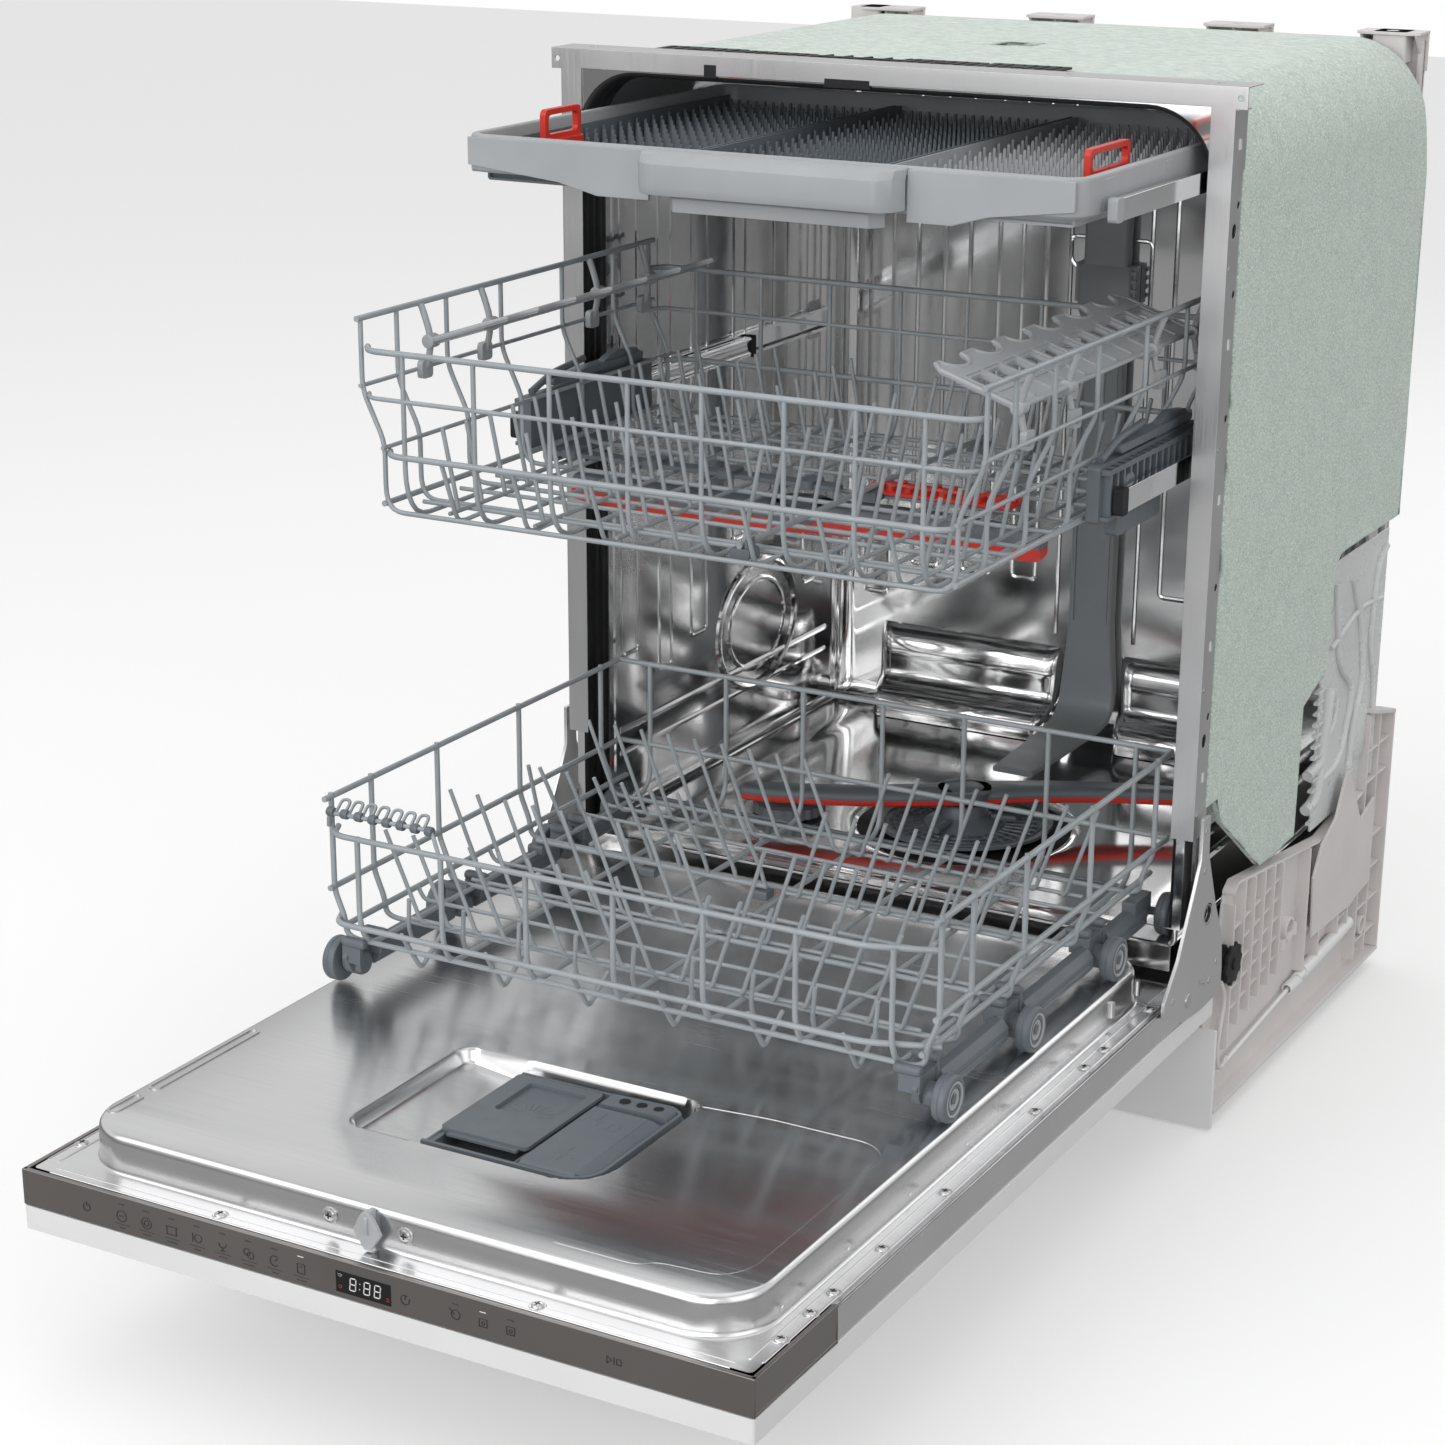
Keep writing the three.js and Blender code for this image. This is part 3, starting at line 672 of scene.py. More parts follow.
def front_frame():
    """Steel frame round the opening, with its side flanges, their slots, and the latch receiver."""
    low, high = corners("front_frame")
    half, top, bottom = high.x, high.z, low.z
    inner, outer, under = half - 28.5, half - 9.5, top - 16
    strip = Shape()
    right = [(inner, under), (inner, bottom), (outer, bottom), (outer, top - 17), (half - 0.4, top - 17),
             (half - 0.4, top - 0.3)]
    face = [(-x, z) for x, z in right[::-1]] + right
    strip.prism(face, "y", 0.2, 1.4, holes=[circle(sign * (half - 6), top - 9, 2.2, 12) for sign in (-1, 1)])
    strip.prism([(-half + 1, 0.3), (half - 1, 0.3), (half - 1, 33), (-half + 1, 33)], "z",
                top - 1.5, top - 0.3, holes=[circle(x, 20, 4, 12) for x in (-270, -150, 150, 270)])
    part("front_frame_face", strip, "frame", "cabinet", ["front_frame"], soften=0.35)

    flange = Shape()
    bright = (323, 430, 546, 665, 813)
    openings = [rounded(11, 18, z, z + 8, 1, 2) for z in bright]
    openings += [rounded(8, 16, z, z + 11, 3.9, 4) for z in (352, 748)]
    openings += [circle(18, z, 3.0, 12) for z in (376, 480, 612, 706, 772)]
    flange.prism([(0.6, bottom), (26, bottom), (26, top - 18), (0.6, top - 18)], "x",
                 outer - 1.2, outer - 0.1, holes=openings)
    flange.block(outer - 6, outer - 0.1, 26, 27.2, bottom, top - 18)
    flange.block(outer - 8, half - 0.5, 0.4, 9, top - 16.6, top - 15.4)
    part("front_frame_flanges", flange.mirrored(), "frame", "cabinet", soften=0.25)
    plugs = Shape()
    for z in bright:
        plugs.block(outer - 3.0, outer - 1.0, 9, 20, z - 2, z + 10)
    part("frame_plugs", plugs.mirrored(), "white", "cabinet")

    lining = Shape()
    tub_half, tub_top, _ = TUB
    arch = rounded(-tub_half - 1, tub_half + 1, 150, tub_top + 1, [2, 54, 54, 2], 12)
    wide = tub_half + 8
    plate = [(-wide, 200), (wide, 200), (wide, under + 4), (-wide, under + 4)]
    arch = [(x, max(z, 201)) for x, z in arch]
    lining.prism(plate, "y", 1.8, 2.4, holes=[arch])
    part("tub_flange_corners", lining, "tub", "cabinet")

    bits = Shape()
    bits.block(-156, -144, 0.1, 6, under - 2.0, under + 9)
    bits.block(-48, -8, 0.1, 12, under - 3.5, under + 4)
    bits.lathe([(3.4, 0), (3.4, 5), (2.6, 6)], (-38, 0.2, under + 1), "y", 12)
    part("latch_receiver", bits, "black", "cabinet", soften=0.8)
    tabs = Shape()
    for z in (bottom + 20, 400, 590, 726):
        tabs.lathe([(1.9, -0.6), (1.9, 0.5), (1.1, 0.7)], (outer, 6, z), "x", 12)
    part("frame_rivets", tabs.mirrored(), "screw", "cabinet")


def gasket():
    """Rubber seal round the opening, which is open at the bottom."""
    tub_half, tub_top, _ = TUB
    low = corners("door_gasket")[0]
    steps = 14
    seal = Shape()
    section = [(3.0, -5), (3.0, 0.5), (5, 2.2), (9, 3.0), (12, 2.0), (14.5, 3.4), (19, 3.8), (22, 2.0),
               (25, 3.2), (30, 3.4), (33, 1.6), (36, 2.4), (40, 1.2), (41, -0.6)]
    loops = []
    for y, rise in section:
        outline = rounded(-tub_half + rise, tub_half - rise, low.z, tub_top - rise,
                          [1, 54 - rise, 54 - rise, 1], steps)
        loops.append([(x, y, z) for x, z in outline[steps:-steps]])
    seal.loft(loops, caps=(False, False), closed=False)
    part("door_gasket_profile", seal, "rubber", "cabinet", ["door_gasket"], smooth=50,
         thick=0.8, solid=False)


def felt_cover():
    """Felt blanket over both sides and the roof, with a hatch and a cut lower edge."""
    high = corners("felt_cover")[1]
    half, top, corner = high.x - 3.4, high.z - 3.2, 66
    front, back, roof_front = 24, high.y - 3, 48
    slope_foot, slope_height, slope_depth = 745, 76, 20
    side_steps, arc_steps, roof_steps, rows = 48, 12, 40, 56

    def lower_edge(y):
        edge = [(front, 299), (48, 299), (60, 276), (161, 206), (246, 206), (247, 322), (302, 340),
                (298.1, 426), (322, 440), (back, 440)]
        for (ya, za), (yb, zb) in zip(edge, edge[1:]):
            if ya <= y <= yb:
                return za + (zb - za) * (y - ya) / max(yb - ya, 1e-6)
        return 440

    ys = sorted(set([front + (back - front) * j / rows for j in range(rows + 1)]
                    + [48, 60, 161, 246, 247, 298, 302, 322]))
    verts = []
    for y in ys:
        bottom = lower_edge(y)
        column = [(-half, bottom + (top - corner - bottom) * i / side_steps) for i in range(side_steps)]
        column += [(-half + corner - corner * math.cos(a), top - corner + corner * math.sin(a))
                   for a in [math.pi / 2 * i / arc_steps for i in range(arc_steps)]]
        column += [(-half + corner + (2 * half - 2 * corner) * i / roof_steps, top)
                   for i in range(roof_steps)]
        column += [(-x, z) for x, z in reversed(column[:side_steps + arc_steps])]
        for x, z in column:
            lift = min(1.0, max(0.0, (z - slope_foot) / slope_height)) * slope_depth
            start = roof_front if z > top - 20 else front
            verts.append((x, max(min(y, back - lift), start), z))
    n = len(verts) // len(ys)
    hatch_x, hatch_y = (-20, 20), (232, 262)
    faces = []
    for face in grid(n, len(ys)):
        x, y, z = verts[face[0]]
        in_hatch = hatch_x[0] <= x < hatch_x[1] and hatch_y[0] <= y < hatch_y[1]
        if z <= top - 2 or not in_hatch:
            faces.append(face)
    cover = Shape().add(verts, faces)
    piece = part("felt_blanket", cover, "felt", "cabinet", ["felt_cover"], thick=5.4,
                 solid=False, smooth=180)
    bevel(piece, "round", 1.2, 3, 55)
    texture = bpy.data.textures.new("lumps", "CLOUDS")
    texture.noise_scale = 0.035
    lumps = piece.modifiers.new("lumps", "DISPLACE")
    lumps.texture = texture
    lumps.texture_coords = "LOCAL"
    lumps.strength = 1.0 * MM
    lumps.mid_level = 0.5


# ---- base, back, hinges ---------------------------------------------------------------------
def base():
    """Plastic base with ribbed sides, a cover over the tank, and a black sheet of painted shade under the
    tub.
    """
    high = corners("base_tray")[1]
    half, back, floor_z = high.x, high.y - 3.2, 14
    tray, wide = Shape(), half - 17.2
    tray.block(-wide, wide, 72, back - 3, floor_z, floor_z + 3)
    tray.block(-wide, wide, back - 3, back, floor_z, 172)
    tray.block(-wide, wide, 72.4, 75, floor_z + 3, 62)
    for x in evenly(-240, 240, 9):
        tray.block(x - 1.2, x + 1.2, back - 12, back - 2, floor_z, 168)
    tray.block(-wide, wide, back - 12, back - 3, 166, 170)
    tray.block(-150, 150, 440, 480, 0, 16)
    part("base_floor", tray, "base", "cabinet", ["base_tray"], soften=0.8)

    side = Shape()
    inner, outer = half - 17, half - 1
    wall = [(72, floor_z), (back, floor_z), (back, 252), (438, 268), (438, 190), (330, 176), (270, 184),
            (116, 205), (104, 196), (92, 150), (78, 146), (72, 120)]
    side.prism(wall, "x", inner, inner + 2.4)
    side.block(inner, outer, 72, back, floor_z, floor_z + 3)
    rim = [(104, 200), (116, 207), (270, 186), (330, 178), (436, 190)]
    for (ya, za), (yb, zb) in zip(rim, rim[1:]):
        side.prism([(ya, za - 3), (yb, zb - 3), (yb, zb), (ya, za)], "x", inner, outer - 5)
    for y, z0, z1 in [(104, 60, 190), (128, 74, 204), (152, 78, 200), (176, 82, 197), (200, 84, 194),
                      (222, 86, 190), (292, 64, 180), (330, 60, 176), (384, 60, 176), (410, 64, 120),
                      (438, 24, 262), (468, 24, 258)]:
        side.block(inner, outer - 3, y - 1.2, y + 1.2, z0, z1)
    for z in (92, 110, 128, 146, 164):
        side.prism([(104, z - 1.2), (222, z + 10), (222, z + 12.4), (104, z + 1.2)], "x", inner, outer - 6)
    for z in (40, 72, 104, 136, 196, 226):
        side.block(inner, outer - 4, 438, back - 3, z - 1.2, z + 1.2)
    for y0, y1, z in ((292, 330, 96), (292, 330, 130), (330, 384, 84), (384, 438, 92), (384, 438, 76)):
        side.prism([(y0, z), (y1, z + 7), (y1, z + 9.4), (y0, z + 2.4)], "x", inner, outer - 6)
    side.lathe([(11, 0), (11, 12), (8.4, 12), (8.4, 0)], (inner, 252, 118), "x", 24)
    side.lathe([(9, 0), (9, 13), (6.6, 13), (6.6, 0)], (inner, 458, 52), "x", 24)
    side.prism([(84, 62), (330, 62), (436, 66), (436, 69), (330, 65), (84, 65)], "x", inner, outer - 14)
    side.block(inner, outer - 0.4, back - 2.6, back, floor_z + 3, 251)
    side.prism([(438, 264), (back, 248), (back, 252), (438, 268)], "x", inner, outer)
    for y in evenly(240, 268, 3):
        side.lathe([(5.5, -6), (5.5, 4)], (outer - 9, y, 108 + (y - 240) * 0.2), "z", 12)
    guide = [(84, 128), (98, 110), (88, 84), (84, 58), (96, 44), (108, 52)]
    side.tube(bend([(outer - 5, y, z) for y, z in guide], 14), 2.0)
    part("base_sides", side.mirrored(), "base", "cabinet", soften=0.5)

    flap = Shape()
    outline = [(306, 92), (400, 88), (466, 94), (462, 178), (424, 168), (384, 226), (374, 226),
               (352, 190), (318, 176), (300, 150)]
    flap.prism(outline, "x", half - 5.2, half - 2.6)
    part("tank_cover", flap.mirrored(), "base", "cabinet", soften=0.6)
    # A black sheet under the tub floor: painted shade that darkens the space beneath the tub.
    darkness = Shape()
    darkness.block(-270, 270, 90, 480, 172, 176)
    part("painted_shade_sheet", darkness, "black", "cabinet", soften=0.5)


def rear():
    """Ribbed back cover with its corner posts and top brackets."""
    low, high = corners("rear_panel")
    panel = Shape()
    panel.block(low.x + 2, high.x - 2, 492, 495, low.z, 852)
    for x in evenly(low.x + 30, high.x - 30, 9):
        panel.block(x - 1.5, x + 1.5, 495, 498, low.z + 12, 846)
    for z in evenly(low.z + 40, 820, 7):
        panel.block(low.x + 14, high.x - 14, 495, 498, z - 1.5, z + 1.5)
    for x in (low.x + 4, high.x - 4):
        panel.block(x - 2, x + 2, 486, 498, low.z, 852)
    part("rear_cover", panel, "base", "cabinet", ["rear_panel"], soften=0.6)
    brackets = Shape()
    for x in (-230, -60, 110, 250):
        outline = [(x - 28, 499), (x - 28, 472), (x - 20, 468), (x + 20, 468), (x + 28, 472), (x + 28, 499)]
        brackets.prism(outline, "z", 857, 859.6, holes=[circle(x, 484, 5, 14)])
        brackets.block(x - 28, x + 28, 494, 498, 826, 858)
        for dx in (-24, 0, 24):
            brackets.prism([(470, 857), (495, 857), (495, 832)], "x", x + dx - 1.2, x + dx + 1.2)
    corner = Shape()
    corner.prism([(-262, 486), (-236, 476), (-236, 498), (-262, 498)], "z", 700, 859)
    corner.prism(rounded(-266, -236, 470, 498.6, 3, 3), "z", 834, 859.6)
    for z in evenly(712, 826, 7):
        corner.block(-265, -236, 484, 498, z - 1.2, z + 1.2)
    brackets.join(corner.mirrored())
    part("rear_brackets", brackets, "base", "cabinet", soften=0.5)


def tank():
    """Water tank at the side, with its blown channels and short hoses."""
    low, high = corners("water_tank")
    outline = [(310, 188), (476, 188), (476, 428), (324, 428), (313, 340)]
    wall = Shape().prism(outline, "x", low.x + 2, low.x + 4.5)
    part("tank_wall", wall, "clear", "cabinet", ["water_tank"], soften=1.2)
    swell = Shape()
    x = high.x - 4
    for line, r in [([(322, 232), (372, 236), (398, 300), (352, 330), (330, 410)], 4.5),
                    ([(398, 206), (402, 262), (424, 300), (408, 356), (376, 404)], 5.0),
                    ([(462, 200), (458, 290), (436, 330), (444, 400), (466, 414)], 4.5),
                    ([(328, 352), (400, 372), (462, 366)], 3.5), ([(320, 268), (350, 274), (356, 300)], 3.5)]:
        swell.tube(bend([(x, y, z) for y, z in line], 22, steps=6), r * 0.7, sides=10)
    swell.lathe([(0.5, -2), (24, -2), (26, 0), (22, 2.6), (0.5, 3.4)], (x, 424, 250), "x", 28)
    part("tank_channels", swell, "clear", "cabinet", smooth=60)
    hose = Shape()
    for y, z in ((312, 214), (320, 246)):
        hose.tube(bend([(284, 290, z), (286, y, z + 6), (286, y + 8, z + 70)], 10), 5, sides=10)
    for z in evenly(200, 330, 14):
        hose.block(283, 287.4, 296, 312, z - 1.2, z + 1.2)
    part("tank_hoses", hose, "clear", "cabinet", smooth=60)


def base_inside():
    """Feet, and the pump with its motor under the sump."""
    for node in ("foot_front_right", "foot_front_left"):
        low, high = corners(node)
        foot = Shape()
        profile = [(0.5, 0), (17, 0), (19, 1.5), (19, 5), (15, 6), (8, 6.2)]
        for z in evenly(6.6, 13.0, 5):
            profile += [(7.0, z), (6.0, z + 0.8)]
        profile.append((0.5, 13.6))
        foot.lathe(profile, ((low.x + high.x) / 2, (low.y + high.y) / 2, 0), "z", 28)
        part(node + "_detail", foot, "dark", "cabinet", [node], smooth=40)
    motor = Shape()
    fins = [(0.5, 6), (30, 6)]
    for x in evenly(14, 112, 15):
        fins += [(38, x), (41.5, x + 1), (41.5, x + 3), (38, x + 4)]
    fins += [(30, 122), (12, 124), (12, 134), (0.5, 134)]
    motor.lathe(fins, (0, 300, 75), "x", 32)
    motor.lathe([(0.5, -50), (44, -50), (52, -42), (52, 2), (44, 8), (0.5, 8)], (0, 300, 75), "x", 32)
    motor.block(-138, -52, 272, 328, 32, 88)
    motor.tube(bend([(-95, 300, 80), (-95, 300, 118), (-95, 340, 130)], 16), 13, sides=16)
    motor.block(-28, 118, 288, 312, 18.5, 50)
    part("pump_motor", motor, "dark", "cabinet", ["wash_pump"], soften=0.6)
    keep("ballast_weight", "iron", 3)
    keep("plinth_panel", "white", 0.8)


def hinges():
    """Pins on the hinge plates, the pulleys, and the balance springs with their rods."""
    for side, sign in SIDES:
        keep(f"hinge_plate_{side}", "plate", 0.4)
        fittings = Shape()
        out = 296.5
        fittings.lathe([(7.2, -3), (7.2, 0.5), (9.6, 0.5), (9.6, -3)], (out, 24, 210), "x", 20)
        fittings.lathe([(0.5, -2), (6, -2), (6, 1.2), (3, 1.6), (0.5, 1.6)], (out, -10, 147), "x", 18)
        for y, z in ((10, 284), (12, 250), (-44, 158), (36, 148), (50, 160)):
            fittings.lathe([(0.4, -1.5), (3.2, -1.5), (3.2, 0.8), (0.4, 1.2)], (out, y, z), "x", 12)
        fittings.tube(bend([(out - 2, 6, 168), (out, 14, 152), (out, 26, 150), (out - 2, 30, 138)], 6), 1.4)
        part(f"hinge_pins_{side}", fittings.on_side(sign), "screw", "cabinet", soften=0.3)

        pulley = Shape()
        rim = toothed(104, 138, 18.8, 16.2, 40)
        pulley.prism(rim, "x", 283, 286.5, holes=[circle(104, 138, 4, 12)])
        pulley.lathe([(15, 0), (13.2, 2), (15, 4)], (286.5, 104, 138), "x", 28)
        pulley.prism(rim, "x", 290.6, 293.6, holes=[circle(104, 138, 3, 12)])
        pulley.lathe([(0.4, 0), (5, 0), (5, 4.2), (0.4, 4.2)], (291, 104, 138), "x", 16)
        part(f"spring_pulley_{side}", pulley.on_side(sign), "black", "cabinet", soften=0.4)

        sleeve = Shape()
        x = abs(sum(corners(f"balance_spring_{side}"), Vector()).x / 2)
        for r, sides, line in ((6.2, 18, [(300, 60), (306, 60), (400, 64), (424, 66)]),
                               (4.6, 16, [(286, 59), (300, 59.6)]), (1.9, 10, [(90, 44), (288, 58)])):
            sleeve.tube([(x, y, z) for y, z in line], r, sides)
        windings, steps = 15, 10
        coil = [(x + 4.4 * math.cos(a), 262 + 28 * a / (math.tau * windings), 57 + 4.4 * math.sin(a))
                for a in [math.tau * i / steps for i in range(windings * steps + 1)]]
        sleeve.tube(coil, 0.8, 6)
        sleeve.lathe([(3.4, 0), (3.4, 6)], (x, 422, 66), "y", 14)
        part(f"spring_sleeve_{side}", sleeve.on_side(sign), "white", "cabinet",
             [f"balance_spring_{side}"], smooth=50)


# ---- fittings on the tub --------------------------------------------------------------------
def control_modules():
    """Flat electronics boxes on the roof, joined by leads."""
    low, high = corners("control_module")
    top = high.z
    boxes = Shape()
    for x0, x1, y1 in ((-225, -150, 68), (-148, -85, 64), (-4, 62, 70), (64, 130, 73)):
        boxes.prism(rounded(x0, x1, 36, y1, 3, 3), "z", low.z + 0.2, top - 0.9)
        for x in evenly(x0 + 8, x1 - 8, 6):
            boxes.block(x - 1.5, x + 1.5, 42, y1 - 6, top - 1, top - 0.2)
    for x in (-186, -108, 26, 96):
        boxes.lathe([(6, 0), (6, 0.7), (3, 0.8)], (x, 52, top - 1), "z", 16)
    boxes.block(-90, 0, 50, 58, low.z + 0.3, top - 0.8)
    for x in evenly(-80, -10, 5):
        boxes.tube([(x, 40, top - 1.2), (x + 6, 66, top - 1.2)], 0.9, 6)
    part("control_modules", boxes, "black", "cabinet", ["control_module"], soften=0.3)


def water_duct():
    """Duct that carries water up the back wall, and the dock for the upper arm."""
    low, high = corners("water_duct")
    half = (high.x - low.x) / 2 - 5
    centre = (low.x + high.x) / 2
    duct = Shape()
    path = [(806, 478, 1.0), (640, 478, 1.0), (639, 478, 1.22), (598, 478, 1.22), (588, 478, 1.0),
            (300, 478, 1.0), (268, 478, 1.1), (244, 477.6, 1.2), (232, 477, 1.24), (222, 475, 1.26),
            (213.5, 470.6, 1.26), (206.5, 461, 1.26), (202.6, 445, 1.2), (200.6, 420, 1.1),
            (199, 360, 1.0), (198.6, 304, 0.9)]
    loops = []
    for k, (z, y, share) in enumerate(path):
        before, after = path[max(k - 1, 0)], path[min(k + 1, len(path) - 1)]
        along = Vector((0, after[1] - before[1], after[0] - before[0])).normalized()
        across = Vector((0, along.z, -along.y))
        depth = 7.0 if z > 230 else 7.0 - 4.2 * min(1, (230 - z) / 24)
        outline = rounded(-half * share, half * share, -depth, depth, depth * 0.55, 4)
        loops.append([Vector((centre + u, y, z)) + across * v for u, v in outline])
    duct.loft(loops)
    for x in (-half + 5, half - 5):
        duct.block(centre + x - 1, centre + x + 1, 469.6, 472, 300, 590)
    part("water_duct_column", duct, "duct", "cabinet", ["water_duct"], smooth=50)
    clips = Shape()
    for x in (centre - 25.5, centre + 25.5):
        clips.block(x - 4.5, x + 4.5, 474, 485, 604, 640)
    for z in evenly(610, 634, 4):
        clips.block(centre + 26, centre + 31, 471, 476, z - 2, z + 2)
    clips.lathe([(15, 0), (15, -8), (11, -10), (11, 0)], (centre - 2, 480, 584), "y", 28)
    part("duct_dock", clips, "duct", "cabinet", soften=0.6)
    frame_wire = Shape()
    for sign in (-1, 1):
        frame_wire.bead(bend([(centre + sign * 24, 486.6, 662), (centre + sign * 40, 486.6, 662),
                              (centre + sign * 40, 486.6, 560)], 6), 2.4)
    part("duct_recess_edge", frame_wire, "tub", "cabinet")


def sump():
    """Filter dish and cup in the floor, and the salt cap."""
    low, high = corners("filter_sump")
    centre = ((low.x + high.x) / 2, (low.y + high.y) / 2, 0)
    dish = Shape()
    dish.lathe([(30, 181), (50, 179.6), (66, 180), (74, 184.5), (79.5, 185), (79.5, 182.4), (60, 176),
                (58, 140), (30, 138)], centre, "z", 48)
    for r, z in ((70, 183), (62, 180.6), (54, 180.4), (46, 180.8)):
        dish.tube(level(circle(*centre[:2], r, 48), z), 1.1, 6, closed=True)
    for a in turns(36):
        dish.tube([away(centre, a, 38, 181.6), away(centre, a, 66, 181.2)], 0.9, 5)
    part("filter_dish", dish, "dark", "cabinet", ["filter_sump"], smooth=45)
    cup = Shape()
    cup.lathe([(14, 181), (14, 199.8), (18, 200.4), (20.5, 198), (21.5, 190), (27, 186), (33, 184),
               (37, 180)], centre, "z", 36)
    for a in turns(3, 0.4):
        cup.tube([away(centre, a, 24, 188), away(centre, a, 46, 186)], 3.4, 8)
    part("filter_cup", cup, "dark", "cabinet", smooth=45)

    low, high = corners("salt_cap")
    x, y = (low.x + high.x) / 2, (low.y + high.y) / 2
    cap = Shape()
    cap.prism(toothed(x, y, 33.2, 32.0, 96), "z", low.z + 0.4, low.z + 10)
    cap.lathe([(31, 10), (29, 12), (26, 12.6), (23, 11.4), (0.5, 11)], (x, y, low.z), "z", 40)
    cap.prism(rounded(x - 25, x + 25, y - 3.4, y + 3.4, 3, 4), "z", low.z + 11, high.z - 0.3)
    part("salt_cap_grip", cap, "dark", "salt_cap", ["salt_cap"], soften=0.6)


# ---- door -----------------------------------------------------------------------------------
LINER = {"half": 269, "front": -692, "back": -20, "radius": 45}
POCKET = {"x0": -106, "x1": 98, "y0": -594, "y1": -440, "ramp": 56, "depth": 23}


def inside(x, y):
    """How far a spot lies inside the dispenser pocket, in millimetres."""
    cx, cy = (POCKET["x0"] + POCKET["x1"]) / 2, (POCKET["y0"] + POCKET["y1"]) / 2
    r = (34 if y < cy else 16) if x > cx else 14
    qx = abs(x - cx) - (POCKET["x1"] - POCKET["x0"]) / 2 + r
    qy = abs(y - cy) - (POCKET["y1"] - POCKET["y0"]) / 2 + r
    return r - math.hypot(max(qx, 0), max(qy, 0)) - min(max(qx, qy), 0)


def ease(t):
    """A smooth step from 0 to 1."""
    t = min(1.0, max(0.0, t))
    return t * t * (3 - 2 * t)


def raised(inset):
    """Outline of the liner's raised field."""
    half, r = LINER["half"] - inset, LINER["radius"] - inset * 0.8
    return rounded(-half, half, LINER["front"] + inset, LINER["back"] - inset, r, 14)


def door_shell():
    """The door's outer panel and its folded steel sides."""
    low, high = corners("door_outer_panel")
    half, front, tail = high.x, low.y, high.y
    panel = Shape()
    panel.prism(rounded(-half + 0.3, half - 0.3, front + 0.5, tail - 0.5, 2.5, 4), "z", low.z + 0.3, 126.2)
    panel.block(-half + 12, half - 12, -7, -4.4, 125, 152)
    part("door_panel", panel, "white", "door", ["door_outer_panel"], soften=1.2)
    sides = Shape()
    wall = [(-607.5, 126.6), (-6, 126.6), (-6, 149), (-9, 152.4), (-607.5, 152.4)]
    sides.prism(wall, "x", half - 3, half - 1.2)
    sides.block(half - 12, half - 1.2, -607.5, -6, 150.8, 152.4)
    part("door_sides", sides.mirrored(), "door", "door", soften=0.5)


